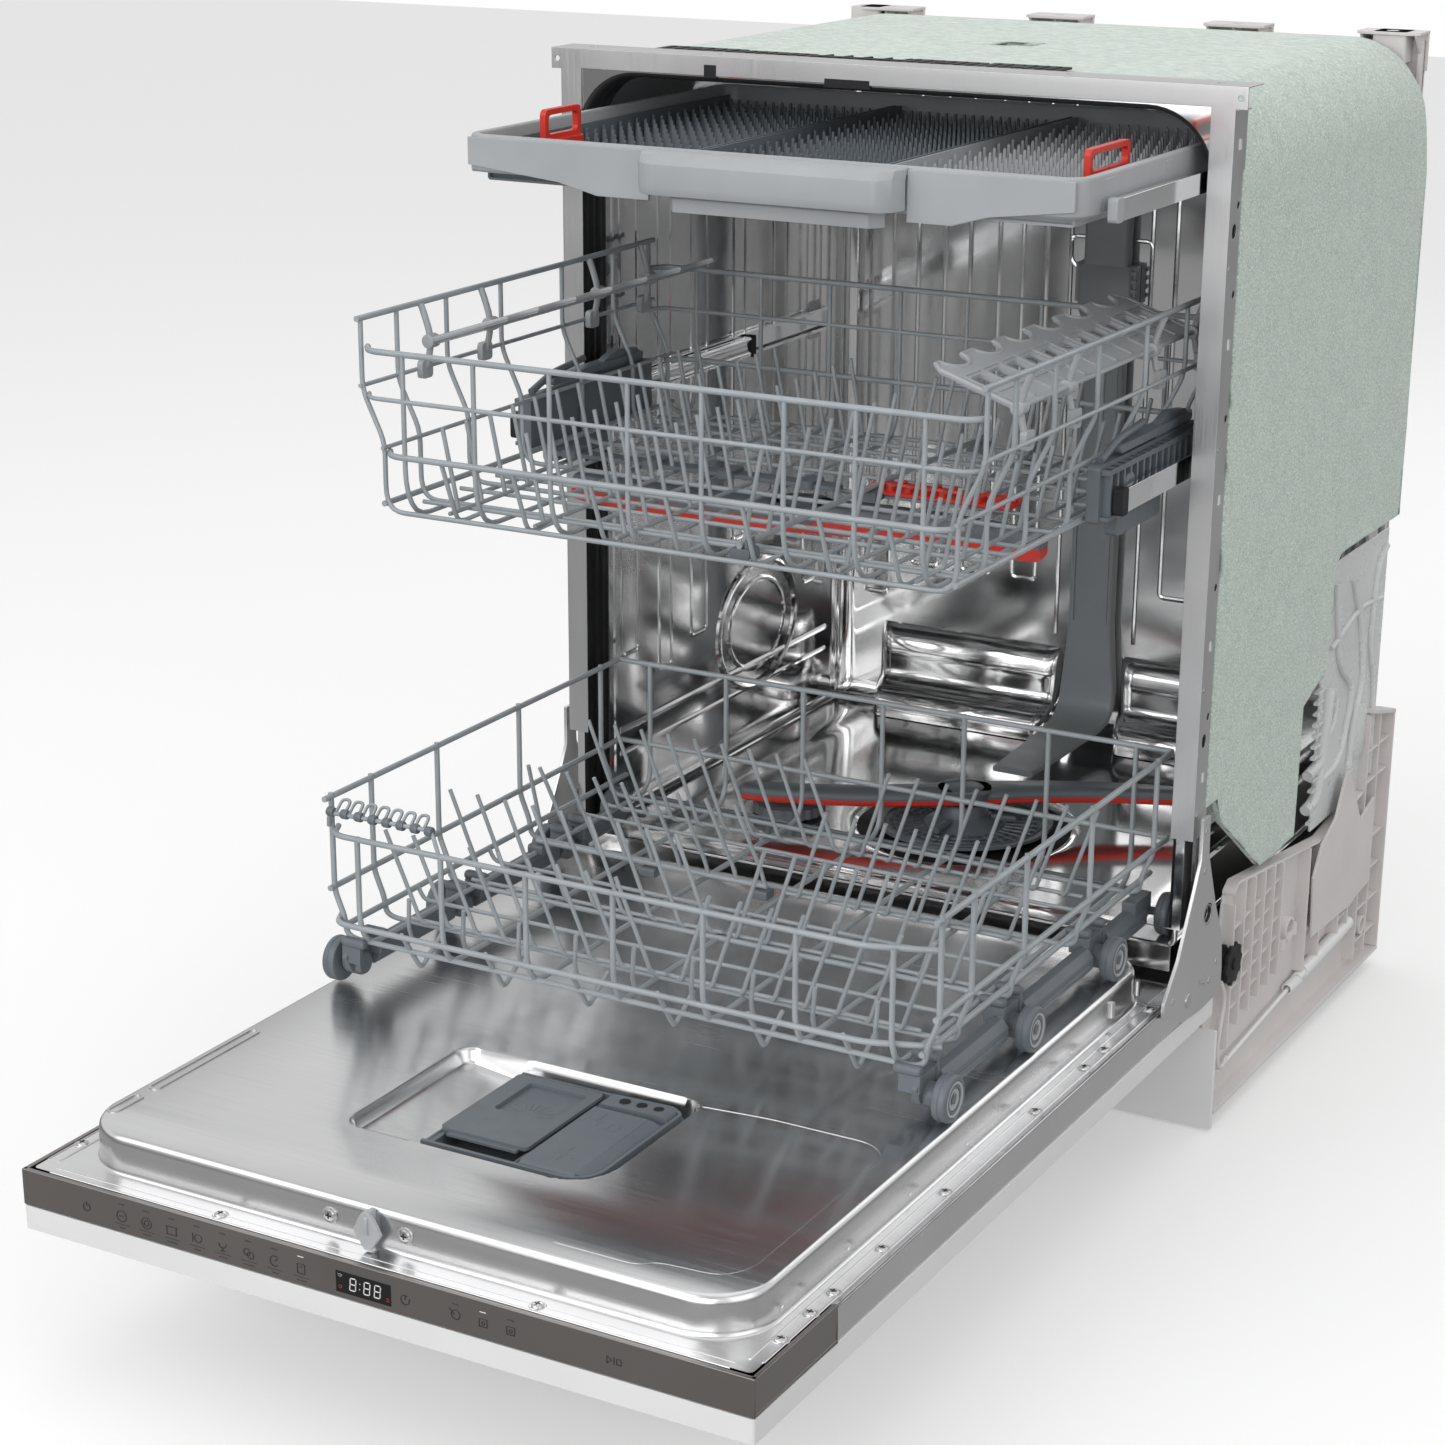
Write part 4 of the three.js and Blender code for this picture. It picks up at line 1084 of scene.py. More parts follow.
def door_liner():
    """The door's pressed steel inside, with the dispenser's pocket, screws and latch hook."""
    low, high = corners("door_liner")
    top, flange = high.z - 0.4, 154.0
    half, front, back = high.x - 0.4, low.y + 0.6, high.y - 0.6
    skin = Shape()
    skin.sheet(rounded(-half, half, front, back, 3, 4), flange, [raised(-3.2)])
    steps = [(-3.2, flange), (-1.6, flange + 0.5), (-0.5, flange + 2), (0, flange + 5), (0.3, top - 6.5),
             (0.9, top - 3.2), (2.4, top - 1.0), (4.6, top)]
    skin.loft([level(raised(inset), z) for inset, z in steps], caps=(False, False))
    margin = 6
    x0, x1 = POCKET["x0"] - margin, POCKET["x1"] + margin
    y0, y1 = POCKET["y0"] - margin, POCKET["y1"] + margin
    skin.sheet(raised(4.6), top, [[(x0, y0), (x1, y0), (x1, y1), (x0, y1)]])
    columns, rows = 150, 116
    rim_share, ramp_share, step_share = 0.42, 0.3, 0.28
    verts = []
    for j in range(rows + 1):
        for i in range(columns + 1):
            x, y = x0 + (x1 - x0) * i / columns, y0 + (y1 - y0) * j / rows
            way = (x - POCKET["x0"]) / POCKET["ramp"]
            slope = rim_share + ramp_share * min(1.0, max(0.0, way)) + step_share * ease((way - 0.94) * 7)
            edge = ease((inside(x, y) + 1.0) / 5.0)
            verts.append((x, y, top - POCKET["depth"] * edge * slope))
    skin.add(verts, grid(columns + 1, rows + 1))
    part("door_liner_skin", skin, "door", "door", ["door_liner"], smooth=40)

    pressed, groove = Shape(), flange - 0.5
    for x in (277.5, 287):
        pressed.tube([(x, -698, groove), (x, -10, groove)], 1.1)
    pressed.tube([(277.5, -14, groove), (287, -14, groove)], 1.1)
    # The slot rims take the darker, rougher frame steel instead of the door's: painted shade that darkens the
    # grooves.
    grooves = Shape()
    for y0, y1 in ((-618, -494), (-664, -629)):
        grooves.prism(rounded(-263, -253, y0, y1, 4.9, 8), "z", top - 1, top + 0.4,
                      holes=[rounded(-261, -255, y0 + 2, y1 - 2, 2.9, 8)])
    part("door_slot_rims_shaded", grooves, "frame", "door", soften=0.25)
    for y0, y1 in ((-706, -699), (-713, -711)):
        pressed.tube([(-272, y0, flange - 0.6), (272, y0, flange - 0.6)], 1.0)
    outline = [(100, -446), (150, -440), (232, -440), (248, -456), (248, -640), (236, -660), (190, -664),
               (182, -674), (120, -674)]
    pressed.tube(bend(level(outline, top - 0.45), 12), 0.75, 6)
    for y in (-52, -104):
        pressed.tube([(269.6, y, 162), (269.6, y, 174)], 2.6)
    for y in evenly(-640, -180, 6):
        pressed.lathe([(2.2, -1), (1.8, 0.5), (0.5, 0.9)], (269, y, 160), "x", 12)
    for x in (-277.5, -287):
        pressed.tube([(x, -698, groove), (x, -10, groove)], 1.1)
    part("door_pressings", pressed, "door", "door", smooth=60)

    heads, slots = Shape(), Shape()
    spots = [(sign * 282.5, y) for sign in (-1, 1)
             for y in (-667, -628, -596, -526, -429, -277, -187, -149, -58)]
    spots += [(-128, -706), (127, -706)]
    for x, y in spots:
        heads.lathe([(6.2, 0), (5.6, 0.7), (4.6, 0.5), (4.3, 0.3), (4.1, 1.1), (3.0, 1.9), (0.6, 2.2)],
                    (x, y, flange - 0.2), "z", 20)
        # Black crosses on the screw heads: painted shade for their slots.
        slots.block(x - 2.2, x + 2.2, y - 0.45, y + 0.45, flange + 1.4, flange + 2.08)
        slots.block(x - 0.45, x + 0.45, y - 2.2, y + 2.2, flange + 1.4, flange + 2.08)
    for x in (-46, 15):
        heads.lathe([(6.4, 0), (6.0, -1.0), (4.4, -0.8), (3.6, -2.0), (0.6, -2.4)], (x, -692, 169), "y", 20)
        slots.block(x - 2.2, x + 2.2, -694.5, -693.6, 168.5, 169.5)
        slots.block(x - 0.5, x + 0.5, -694.5, -693.6, 166.8, 171.2)
    part("door_screws", heads, "screw", "door", smooth=40)
    # The black crosses are painted shade in the screw slots.
    part("door_screw_slot_shade", slots, "black", "door")

    hook = Shape()
    side = [(-691, 182.8), (-697, 183), (-702, 179), (-703, 170), (-698, 160), (-692.6, 160)]
    hook.prism(side, "x", -12, -8.4)
    kite = [(-21, 168), (-12.5, 155.6), (-7.5, 155.6), (1, 168), (-4.5, 178), (-9, 183), (-13, 183),
            (-16.5, 178)]
    hook.prism(kite, "y", -701, -697.4)
    part("door_latch_hook", hook, "grey", "door", soften=0.6)


def dispenser():
    """Dispenser body, the sliding detergent lid and the rinse-aid flap."""
    low, high = corners("dispenser_housing")
    x0, x1, y0, y1 = low.x + 2, high.x - 1, low.y + 1, high.y - 2
    shoulder, rim_z, cup_floor = 172, 175.8, 164
    body = Shape()
    cup = rounded(x0 + 8, 24, y0 + 5, y1 - 6, 5, 4)
    for edges in (((0, low.z + 2.6), (0, shoulder)), ((0, shoulder), (1.0, rim_z))):
        loops = []
        for i, z in edges:
            wall = rounded(x0 + i, x1 - i, y0 + i, y1 - i, [24 - i, 12 - i, 9 - i, 9 - i], 8)
            loops.append(level(wall, z))
        body.loft(loops, caps=(False, False))
    rim = rounded(x0 + 1, x1 - 1, y0 + 1, y1 - 1, [23, 11, 8, 8], 8)
    body.sheet(rim, rim_z, [cup])
    body.loft([level(cup, rim_z), level(cup, cup_floor)], caps=(False, True))
    body.tube(level(rounded(x0 + 3, 26, y0 + 2.4, y1 - 3, 7, 6), rim_z - 0.2), 1.0, closed=True)
    outer = rounded(x0, 91, y0, y1, [24, 9, 9, 9], 8)[:18]
    inner = rounded(x0, 88.4, y0 + 3, y1 - 2.4, [21, 6, 6, 6], 8)[:18]
    start = x0 + 4
    body.prism([(start, y0), *outer, (start, y1), (start, y1 - 2.4), *inner[::-1], (start, y0 + 3)], "z",
               174, 180.4)
    wedge = [(29.5, 175), (29.5, 178.5), (31, 180.8), (80, 182.2), (84, 181), (90.4, 172), (90.4, 168)]
    body.prism(wedge, "y", -473, y1)
    part("dispenser_body", body, "dark", "door", ["dispenser_housing"], soften=0.5)

    knobs = Shape()
    for x in (60, 46, 74):
        knobs.lathe([(4.4, -1), (4.0, 0.6), (0.5, 0.8)], (x, -463, 181.6), "z", 18)
    part("dispenser_knobs", knobs, "black", "door", soften=0.2)

    low, high = corners("detergent_lid")
    lid, seat = Shape(), 178.2
    window = rounded(-30, 18, -518, -468, 3, 4)
    plate = rounded(low.x + 1, high.x - 0.6, -562, high.y - 0.6, 4, 5)
    lid.prism(plate, "z", seat, high.z - 0.2, holes=[window])
    lid.prism(rounded(-44, 24, -560, -460, 3, 4), "z", low.z + 0.2, seat)
    lid.block(-38, 20, -566, -560, low.z + 0.4, low.z + 2.6)
    for degrees in evenly(20, 160, 9):
        a = math.radians(degrees)
        lid.tube([away((-6, -512), a, reach, seat) for reach in (8, 20)], 0.45, 5)
    for y in evenly(-550, -536, 7):
        lid.block(-40, -24, y - 0.6, y + 0.6, high.z - 0.5, high.z - 0.02)
    lid.prism([(0, -546), (8, -538), (16, -546), (8, -542)], "z", high.z - 0.5, high.z - 0.02)
    part("detergent_lid_detail", lid, "dark", "detergent_lid", ["detergent_lid"],
         soften=0.45)

    low, high = corners("rinse_lid")
    flap = Shape()
    side = [(low.y + 0.6, low.z + 0.2), (high.y - 0.6, low.z + 0.2), (high.y - 0.6, high.z - 0.3),
            (low.y + 7, high.z - 0.6), (low.y + 1.5, low.z + 3)]
    flap.prism(side, "x", low.x + 0.6, 76)
    flap.prism([(76, low.z + 0.2), (76, high.z - 0.6), (80, high.z - 1.0), (87, low.z + 1.6),
                (87, low.z + 0.2)], "y", low.y + 3, high.y - 0.6)
    for a in turns(6, math.radians(30)):
        flap.tube([away((54, -556), a, reach, high.z - 0.6) for reach in (3, 12)], 0.45, 5)
    flap.lathe([(9.4, -1), (9.2, -0.1), (8.2, -0.05), (8.0, -0.8), (0.5, -0.8)], (57, -504, high.z), "z", 32)
    flap.prism(rounded(55.4, 58.6, -511, -497, 1.2, 3), "z", high.z - 1, high.z - 0.1)
    flap.prism(rounded(36, 46, -500, -486, 2, 3), "z", high.z - 0.8, high.z - 0.05)
    part("rinse_lid_detail", flap, "dark", "rinse_lid", ["rinse_lid"], soften=0.4)


def stroke(shape, points, face, width=0.36):
    """A thin printed line on the control strip."""
    return shape.tube([(x, face, z) for x, z in points], width, 5)


def arc(cx, cz, r, start, stop, steps=12):
    """Points of an arc; start and stop are in degrees."""
    return [(cx + r * math.cos(a), cz + r * math.sin(a))
            for a in evenly(math.radians(start), math.radians(stop), steps + 1)]


def frame_line(x0, x1, z0, z1):
    return [(x0, z0), (x0, z1), (x1, z1), (x1, z0), (x0, z0)]


def control_strip():
    """Dark strip on the top edge of the door, with generic signs and a display."""
    low, high = corners("control_strip")
    half, front, back = high.x - 0.3, low.y + 0.5, high.y - 0.6
    z0, z1 = low.z + 0.2, high.z - 0.2
    strip = Shape()
    strip.block(-half, half, front, front + 4, z0, z1)
    strip.block(-half, half, front + 1, back, z0, z0 + 1.6)
    for sign in (-1, 1):
        x0, x1 = sorted((sign * half, sign * (half - 3.4)))
        strip.block(x0, x1, front + 1, back, z0, z1)
    part("control_strip_cover", strip, "strip", "door", ["control_strip"], soften=0.5)
    joint = Shape()
    joint.block(-half + 1, half - 1, front + 2, back - 2, 126.0, 127.6)
    part("strip_joint", joint, "black", "door")

    face = low.y + 0.42
    marks, lit, red = Shape(), Shape(), Shape()
    stroke(marks, arc(-235, 139, 3.0, 120, 420), face)
    stroke(marks, [(-235, 139.6), (-235, 143.2)], face)
    for i, x in enumerate(evenly(-204, -51, 8)):
        stroke(lit if i == 7 else marks, [(x - 2.4, 148.6), (x + 2.4, 148.6)], face)
        stroke(marks, [(x - 6.5, 133.4), (x + 6.5, 133.4)], face, 0.2)
        stroke(marks, [(x - 2.6 - i % 3, 130.8), (x + 2.6 + i % 3, 130.8)], face, 0.35)
        drawings = [
            [arc(x, 139.6, 4.2, 0, 360), [(x - 2, 139.6), (x + 2, 139.6)]],
            [arc(x, 139.6, 4.2, 0, 360), arc(x, 139.6, 2.0, 0, 360)],
            [[(x - 4, 142), (x - 4, 136.6), (x + 4, 136.6), (x + 4, 142)], [(x - 5, 142.6), (x + 5, 142.6)]],
            [[(x - 3.6, 136.4), (x - 3.6, 143)], arc(x + 1, 139.6, 3.0, 0, 360)],
            [arc(x, 141, 3.0, 180, 360), [(x, 138), (x, 135.6)], [(x - 2, 135.6), (x + 2, 135.6)]],
            [arc(x - 1.4, 140.4, 2.6, 0, 360), arc(x + 1.6, 138.4, 2.6, 0, 360)],
            [arc(x, 139.6, 3.8, 50, 310), [(x, 139.6), (x + 2.6, 141.6)]],
            [frame_line(x - 3, x + 3, 136, 143), [(x - 1, 141), (x + 1, 141)]]]
        for line in drawings[i]:
            stroke(marks, line, face)
    stroke(marks, arc(33, 139, 3.4, 60, 380), face)
    stroke(marks, [(33, 139), (33, 141.6)], face)
    for i, x in enumerate((72.6, 93.9, 114.9)):
        stroke(lit if i == 1 else marks, [(x - 2.4, 146.6), (x + 2.4, 146.6)], face)
        if i == 0:
            stroke(marks, arc(x, 139, 3.4, 0, 360), face)
            stroke(marks, [(x - 5, 143), (x - 1, 139)], face)
        else:
            stroke(marks, frame_line(x - 3, x + 3, 136, 141.6), face)
            stroke(marks, arc(x, 138.6, 1.2, 0, 360), face)
    stroke(marks, [(187, 136.4), (187, 141.6), (190.4, 139), (187, 136.4)], face)
    stroke(marks, [(192.2, 136.4), (192.2, 141.6)], face)
    stroke(marks, frame_line(194.2, 197.4, 137, 141), face)
    part("strip_icons", marks, "mark", "door")

    window = Shape()
    window.block(-22.5, 21.8, face - 0.06, face + 1, 131, 146.6)
    part("display_window", window, "glass", "door")
    face -= 0.1
    segments = {"a": (0, 1, 1, 1), "b": (1, 0.5, 1, 1), "c": (1, 0, 1, 0.5), "d": (0, 0, 1, 0),
                "e": (0, 0, 0, 0.5), "f": (0, 0.5, 0, 1), "g": (0, 0.5, 1, 0.5)}
    digit_z, tall, wide, slant, gap = 134.4, 9.0, 4.6, 0.9, 0.09
    for x, names in ((-11.5, "abcdefg"), (-0.2, "abcdefg"), (8.2, "abcdefg")):
        for name in names:
            xa, za, xb, zb = segments[name]
            ends = [(x + wide * u + slant * v, digit_z + tall * v) for u, v in ((xa, za), (xb, zb))]
            shrunk = [(a * (1 - gap) + b * gap, c * (1 - gap) + d * gap)
                      for (a, c), (b, d) in (ends, ends[::-1])]
            stroke(lit, shrunk, face + 0.2, 0.5)
    for z in (137, 141):
        stroke(lit, [(-3.4 + (z - 137) * 0.1, z - 0.3), (-3.4 + (z - 137) * 0.1, z + 0.3)], face + 0.2, 0.5)
    for r in (1.0, 2.0, 3.0):
        stroke(lit, arc(-19, 141.4, r, 50, 130, 6), face + 0.2, 0.22)
    stroke(red, arc(-19, 135.2, 1.2, 0, 360, 8), face + 0.2, 0.25)
    stroke(red, [(18, 134), (20, 134), (20, 136), (18, 136)], face + 0.2, 0.3)
    part("display_digits", lit, "print", "door")
    part("display_red_marks", red, "red", "door")


# ---- lower basket ---------------------------------------------------------------------------
THICK = 2.4
THIN = 1.75
WHEEL_X, AXLE_Z = 261, 202


def across(right):
    """A wire from one side to the other, from the half of it that lies on the right."""
    return [(-x, y, z) for x, y, z in right] + right[::-1]


def lower_basket():
    """Wires, fixed tines, glass holder, wheel carriers, folding comb and rear axle."""
    side, front, back, top = 257, -404, 31.5, 338
    frame_wires = Shape()
    for sign in (-1, 1):
        for x, y0, y1, z in ((side, -401, 28, top), (side, -398, 28, 265), (246, -396, 24, 236)):
            frame_wires.wire([(sign * x, y0, z), (sign * x, y1, z)], THICK)
    for z in (312, 240):
        frame_wires.wire([(-side, -384, z), (-248, front + 1, z), (205, front + 1, z), (side - 1, -384, z)],
                         THICK, 10)
    for z in (top, 265):
        frame_wires.wire([(-side, back, z), (side, back, z)], THICK)
    part("lower_side_front_rails", frame_wires, "wire", "lower_basket",
         ["lower_basket_front", "lower_basket_side_left", "lower_basket_side_right"], smooth=60)

    loops = Shape()
    for y in (-392, -340, -250, -130, 0):
        loops.wire(across([(side, y, 341), (side, y, 262), (248, y, 240), (247, y, 228), (238, y, 225)]),
                   THICK * 0.92, 6)
    for y in (-298, -196, -60):
        loops.wire([(-246, y, 238), (-240, y, 226), (240, y, 226), (246, y, 238)], THIN, 6)
    part("lower_cross_wires", loops, "wire", "lower_basket", ["lower_basket_floor"], smooth=60)

    longs = Shape()
    for x in (-226, -150, -75, 0, 75, 150, 226):
        longs.wire([(x, front + 1, 314), (x, front + 1, 242), (x, front + 12, 223), (x, 20, 223),
                    (x, back, 236), (x, back, 340)], THICK * 0.92, 12)
    for x in (-188, -112, -37, 37, 112, 188):
        longs.wire([(x, front + 1, 242), (x, -378, 206), (x, -350, 224)], THIN * 1.1, 5)
    part("lower_long_wires", longs, "wire", "lower_basket", ["lower_basket_back"], smooth=60)

    tines = Shape()
    for y, tall, xs in [(-345, 66, range(-210, 0, 26)), (-250, 70, range(-214, 0, 26)),
                        (-40, 70, range(-214, 0, 26)), (-345, 66, range(24, 226, 26)),
                        (-250, 70, range(18, 226, 26)), (-150, 70, range(18, 226, 26)),
                        (-40, 70, range(18, 226, 26))]:
        for x in xs:
            lean = 1 if x > 0 else -1
            tines.wire([(x - lean * 8, y + 7, 226.5), (x, y, 228), (x + lean * 4, y - 1, 240),
                        (x + lean * 27, y - 6, 236 + tall)], THIN, 5, 7)
        tines.tube([(min(xs) - 14, y + 3, 228.8), (max(xs) + 14, y + 3, 228.8)], THIN, 7)
    for x in evenly(-200, 200, 9):
        tines.wire([(x, -372, 226), (x, -376, 236), (x + 4, -380, 262)], THIN, 5, 7)
    part("lower_tines", tines, "wire", "lower_basket", smooth=60)

    holder = Shape()
    holder.wire([(-side, -396, 316), (-252, front + 2, 329), (-158, front + 2, 331), (-152, front + 2, 312)],
                THIN, 6)
    for x in evenly(-242, -170, 7):
        holder.wire([(x - 4, front + 3, 330), (x - 4, -392, 338), (x + 4, -392, 338),
                     (x + 4, front + 3, 330)], THIN * 0.8, 4, 6)
    part("glass_holder", holder, "wire", "lower_basket", smooth=60)
    clips = Shape()
    for x in evenly(-250, -160, 8):
        clips.lathe([(3.4, -3), (3.8, -2), (3.8, 2), (3.4, 3)], (x, front + 2.2, 330), "x", 12)
    part("glass_holder_clips", clips, "dark", "lower_basket", smooth=50)

    carriers = Shape()
    profile = [(236, 199), (241, 195), (249, 195), (252, 199), (252, 208), (247, 214), (239, 214), (236, 210)]
    for y0, y1 in ((-366, -260), (-224, -102), (-66, 8)):
        carriers.prism(profile, "y", y0, y1)
        carriers.block(246, 253, y0 + 8, y1 - 8, 200, 204)
    for y in (-383, -242, -84):
        carriers.lathe([(8, 236), (9.5, 239), (9.5, 251), (7.6, 254), (5, 254.6)], (0, y, AXLE_Z), "x", 28)
        for post in (y - 14, y + 14):
            foot = [(post - 3, 207), (post + 3, 207), (post + 2, 221), (post - 2, 221)]
            carriers.prism(foot, "x", 230, 247)
            carriers.lathe([(3.2, 226), (4.2, 229), (4.2, 244), (3.2, 247)], (0, post, 224), "x", 14)
        plate = [(-19, 212), (-12, 198), (12, 198), (19, 212), (12, 219), (-12, 219)]
        carriers.prism([(y + v, z) for v, z in plate], "x", 241, 246)
    carriers.block(238, 250, -14, 20, 204, 222)
    part("wheel_carriers", carriers.mirrored(), "dark", "lower_basket", soften=0.9)

    comb = Shape()
    y, z = -150, 232
    comb.tube([(-228, y, z), (-10, y, z)], THICK)
    for x in range(-220, -10, 26):
        lean = 3 if x < -214 else 18
        comb.wire([(x, y, z), (x - 2, y - 2, z + 12), (x - lean, y - 19, z + 72)], THIN, 5, 7)
    part("lower_folding_comb", comb, "wire", "lower_folding_tines", ["lower_folding_tines"],
         smooth=60)
    seats = Shape()
    for x in (-226, -118, -14):
        seats.prism(rounded(y - 7, y + 7, 222, 229.4, 2, 3), "x", x - 7, x + 7)
    part("comb_seats", seats, "dark", "lower_basket", soften=0.5)

    axle = Shape()
    for sign in (-1, 1):
        stub = [(3, 228), (5, 230), (5, 236), (3.4, 238), (3.4, 252), (4.6, 254), (0.5, 254.3)]
        axle.lathe([(r, sign * x) for r, x in stub], (0, 28, AXLE_Z), "x", 16)
    axle.wire(across([(232, 28, AXLE_Z), (232, 28, 218)]), 1.7, 8)
    part("rear_axle_rod", axle, "dark", "lower_carriage", ["rear_axle"], smooth=50)


def wheels():
    """Eight wheels with a tread groove, spokes and rings."""
    profile = [(3, -5.8), (14.8, -5.8), (16.8, -5.0), (17.6, -3.2), (17.6, -0.6), (17.2, -0.2), (17.2, 0.3),
               (17.6, 0.7), (17.6, 3.4), (16.8, 5.0), (15.2, 5.8), (13.8, 5.8), (13.3, 4.2), (11.0, 4.0),
               (10.5, 5.4), (8.6, 5.5), (8.1, 2.6), (3.6, 2.6), (3.2, 5.0), (0.4, 5.2)]
    for side, sign in SIDES[::-1]:
        for name, y in (("front", -383), ("second", -242), ("third", -84), ("rear", 28)):
            node = f"wheel_{name}_{side}"
            wheel = Shape()
            hub = (WHEEL_X, y, AXLE_Z)
            wheel.lathe(profile, hub, "x", 40)
            for a in turns(5):
                spoke = [away((y, AXLE_Z), a, 3, 0), away((y, AXLE_Z), a + 0.4, 8.4, 0)]
                wheel.tube([(WHEEL_X + 3.6, v, z) for v, z, _ in spoke], 1.0, 6)
            ring = Shape()
            ring.lathe([(10.6, 3.8), (11.2, 5.6), (13.2, 5.9), (13.4, 4.0)], hub, "x", 40)
            ring.lathe([(5.0, 2.4), (5.2, 4.6), (8.0, 5.0), (8.2, 2.4)], hub, "x", 32)
            part(node + "_detail", wheel.on_side(sign), "dark", node, [node], smooth=40)
            part(node + "_rings", ring.on_side(sign), "shelf", node, smooth=40)


# ---- upper basket ---------------------------------------------------------------------------
def upper_basket():
    """Wires, tines, folding comb, height adjusters and the red knife rest."""
    half, waist, front, back, top = 253.5, 235, -345, 88, 695
    sides = Shape()
    for sign in (-1, 1):
        for x, start, z, r in ((half, 2, top, THICK), (half, 4, 645, THIN), (waist, 4, 600, THIN),
                               (waist, 4, 558, THICK)):
            sides.wire([(sign * x, front + start, z), (sign * x, back - 2, z)], r)
    for y in (-338, -292, -226, -150, -60, 20, 78):
        sides.wire(across([(half, y, top + 1), (half, y, 642), (waist, y, 604), (waist, y, 562),
                           (228, y, 552)]), THIN * 1.08, 9)
    part("upper_side_wires", sides, "wire", "upper_basket",
         ["upper_basket_side_left", "upper_basket_side_right"], smooth=60)

    ends = Shape()
    for y, inwards in ((front, 1), (back, -1)):
        for z, h in ((673, half - 1), (638, half - 1), (596, waist)):
            ends.wire([(-h, y + inwards * 14, z), (-h + 10, y, z), (h - 10, y, z), (h, y + inwards * 14, z)],
                      THICK if z != 638 else THIN, 8)
    part("upper_end_rails", ends, "wire", "upper_basket",
         ["upper_basket_front", "upper_basket_back"], smooth=60)

    longs = Shape()
    for x in (-212, -150, -85, -20, 40, 105, 160, 212):
        longs.wire([(x, front, 675), (x, front, 572), (x, front + 14, 549.5), (x, back - 14, 549.5),
                    (x, back, 572), (x, back, 675)], THIN * 1.08, 16)
    for x in (-180, -118, -52, 10, 72, 132, 186):
        longs.wire([(x, front, 596), (x + 3, front + 16, 548), (x + 10, front + 40, 552)], THIN, 8)
    for y in (-300, -250, -200, -110, -18, 50):
        longs.wire([(-228, y, 552), (228, y, 552)], THIN, 6)
    part("upper_long_wires", longs, "wire", "upper_basket", ["upper_basket_floor"], smooth=60)

    hoops = Shape()
    for x, lean, tall in ((-185, -13, 62), (-110, -14, 66), (-40, -13, 64), (140, 13, 66), (200, 11, 58)):
        hoops.tube([(x, -328, 553.5), (x, 74, 553.5)], THIN, 7)
        for y in evenly(-316, 64, 13):
            hoops.wire([(x, y, 553), (x + lean * 0.2, y, 566), (x + lean, y, 553 + tall)], THIN, 5, 7)
    part("upper_tines", hoops, "wire", "upper_basket", smooth=60)

    comb = Shape()
    x, z = 60, 560
    comb.tube([(x, -326, z), (x, 86, z)], THICK)
    for y in evenly(-318, 66, 12):
        comb.wire([(x, y, z), (x + 2, y, z + 14), (x + 14, y, z + 72)], THIN, 5, 7)
    part("upper_folding_comb", comb, "wire", "upper_folding_tines", ["upper_folding_tines"],
         smooth=60)
    seats = Shape()
    for y in (-318, -120, 76):
        seats.prism(rounded(x - 8, x + 8, 550, 558, 2, 3), "y", y - 8, y + 8)
    for y in (-318, 76):
        seats.prism([(x + 3.2, 557), (x + 6, 557), (x + 5, 565), (x + 3.2, 564)], "y", y - 6, y + 6)
    part("upper_comb_seats", seats, "dark", "upper_basket", soften=0.5)

    plates = Shape()
    plate = rounded(-130, 60, 556, 600, 4, 4)
    plates.prism(plate, "x", 240, 250)
    for y in evenly(-122, 52, 15):
        plates.block(249, 256.4, y - 1.6, y + 1.6, 560, 597)
    plates.block(249, 256.8, -128, 58, 593, 597)
    plates.block(249, 256.8, -128, 58, 559, 562)
    plates.prism(rounded(-96, -10, 540, 560, 5, 4), "x", 241, 251)
    plates.prism([(-20, 600), (50, 600), (40, 612), (8, 616), (-12, 610)], "x", 242, 249)
    plates.prism(rounded(-96, 46, 603, 609, 2.6, 4), "x", 240, 252)
    plates.tube(bend([(246, -120, 602), (246, -88, 612), (246, -40, 616)], 10), 3.0, 10)
    plates.lathe([(9, 250), (10, 251), (10, 255), (8, 256.6), (3, 256.6)], (0, -84, 578), "x", 24)
    part("height_adjusters", plates.mirrored(), "dark", "upper_basket", soften=0.6)

    holder = Shape()
    holder.prism(rounded(49, 175, -118, -82, 6, 5), "z", 555.4, 557.4)
    for x0 in evenly(58, 160, 8):
        holder.prism(rounded(x0 - 3, x0 + 3, -114, -86, 2.4, 3), "z", 557, 560.6)
    holder.tube([(52, -100, 559), (172, -100, 559)], 2.2, 8)
    part("red_knife_rest", holder, "red", "upper_basket", soften=0.4)
    strip = Shape()
    strip.prism(rounded(-228, 34, -128, -112, 5, 4), "z", 555.2, 558.4)
    for x0 in (-205, -130, -62, 8):
        strip.prism(rounded(x0 - 7, x0 + 7, -132, -108, 4, 4), "z", 554.4, 561)
    part("floor_strip", strip, "dark", "upper_basket", soften=0.6)


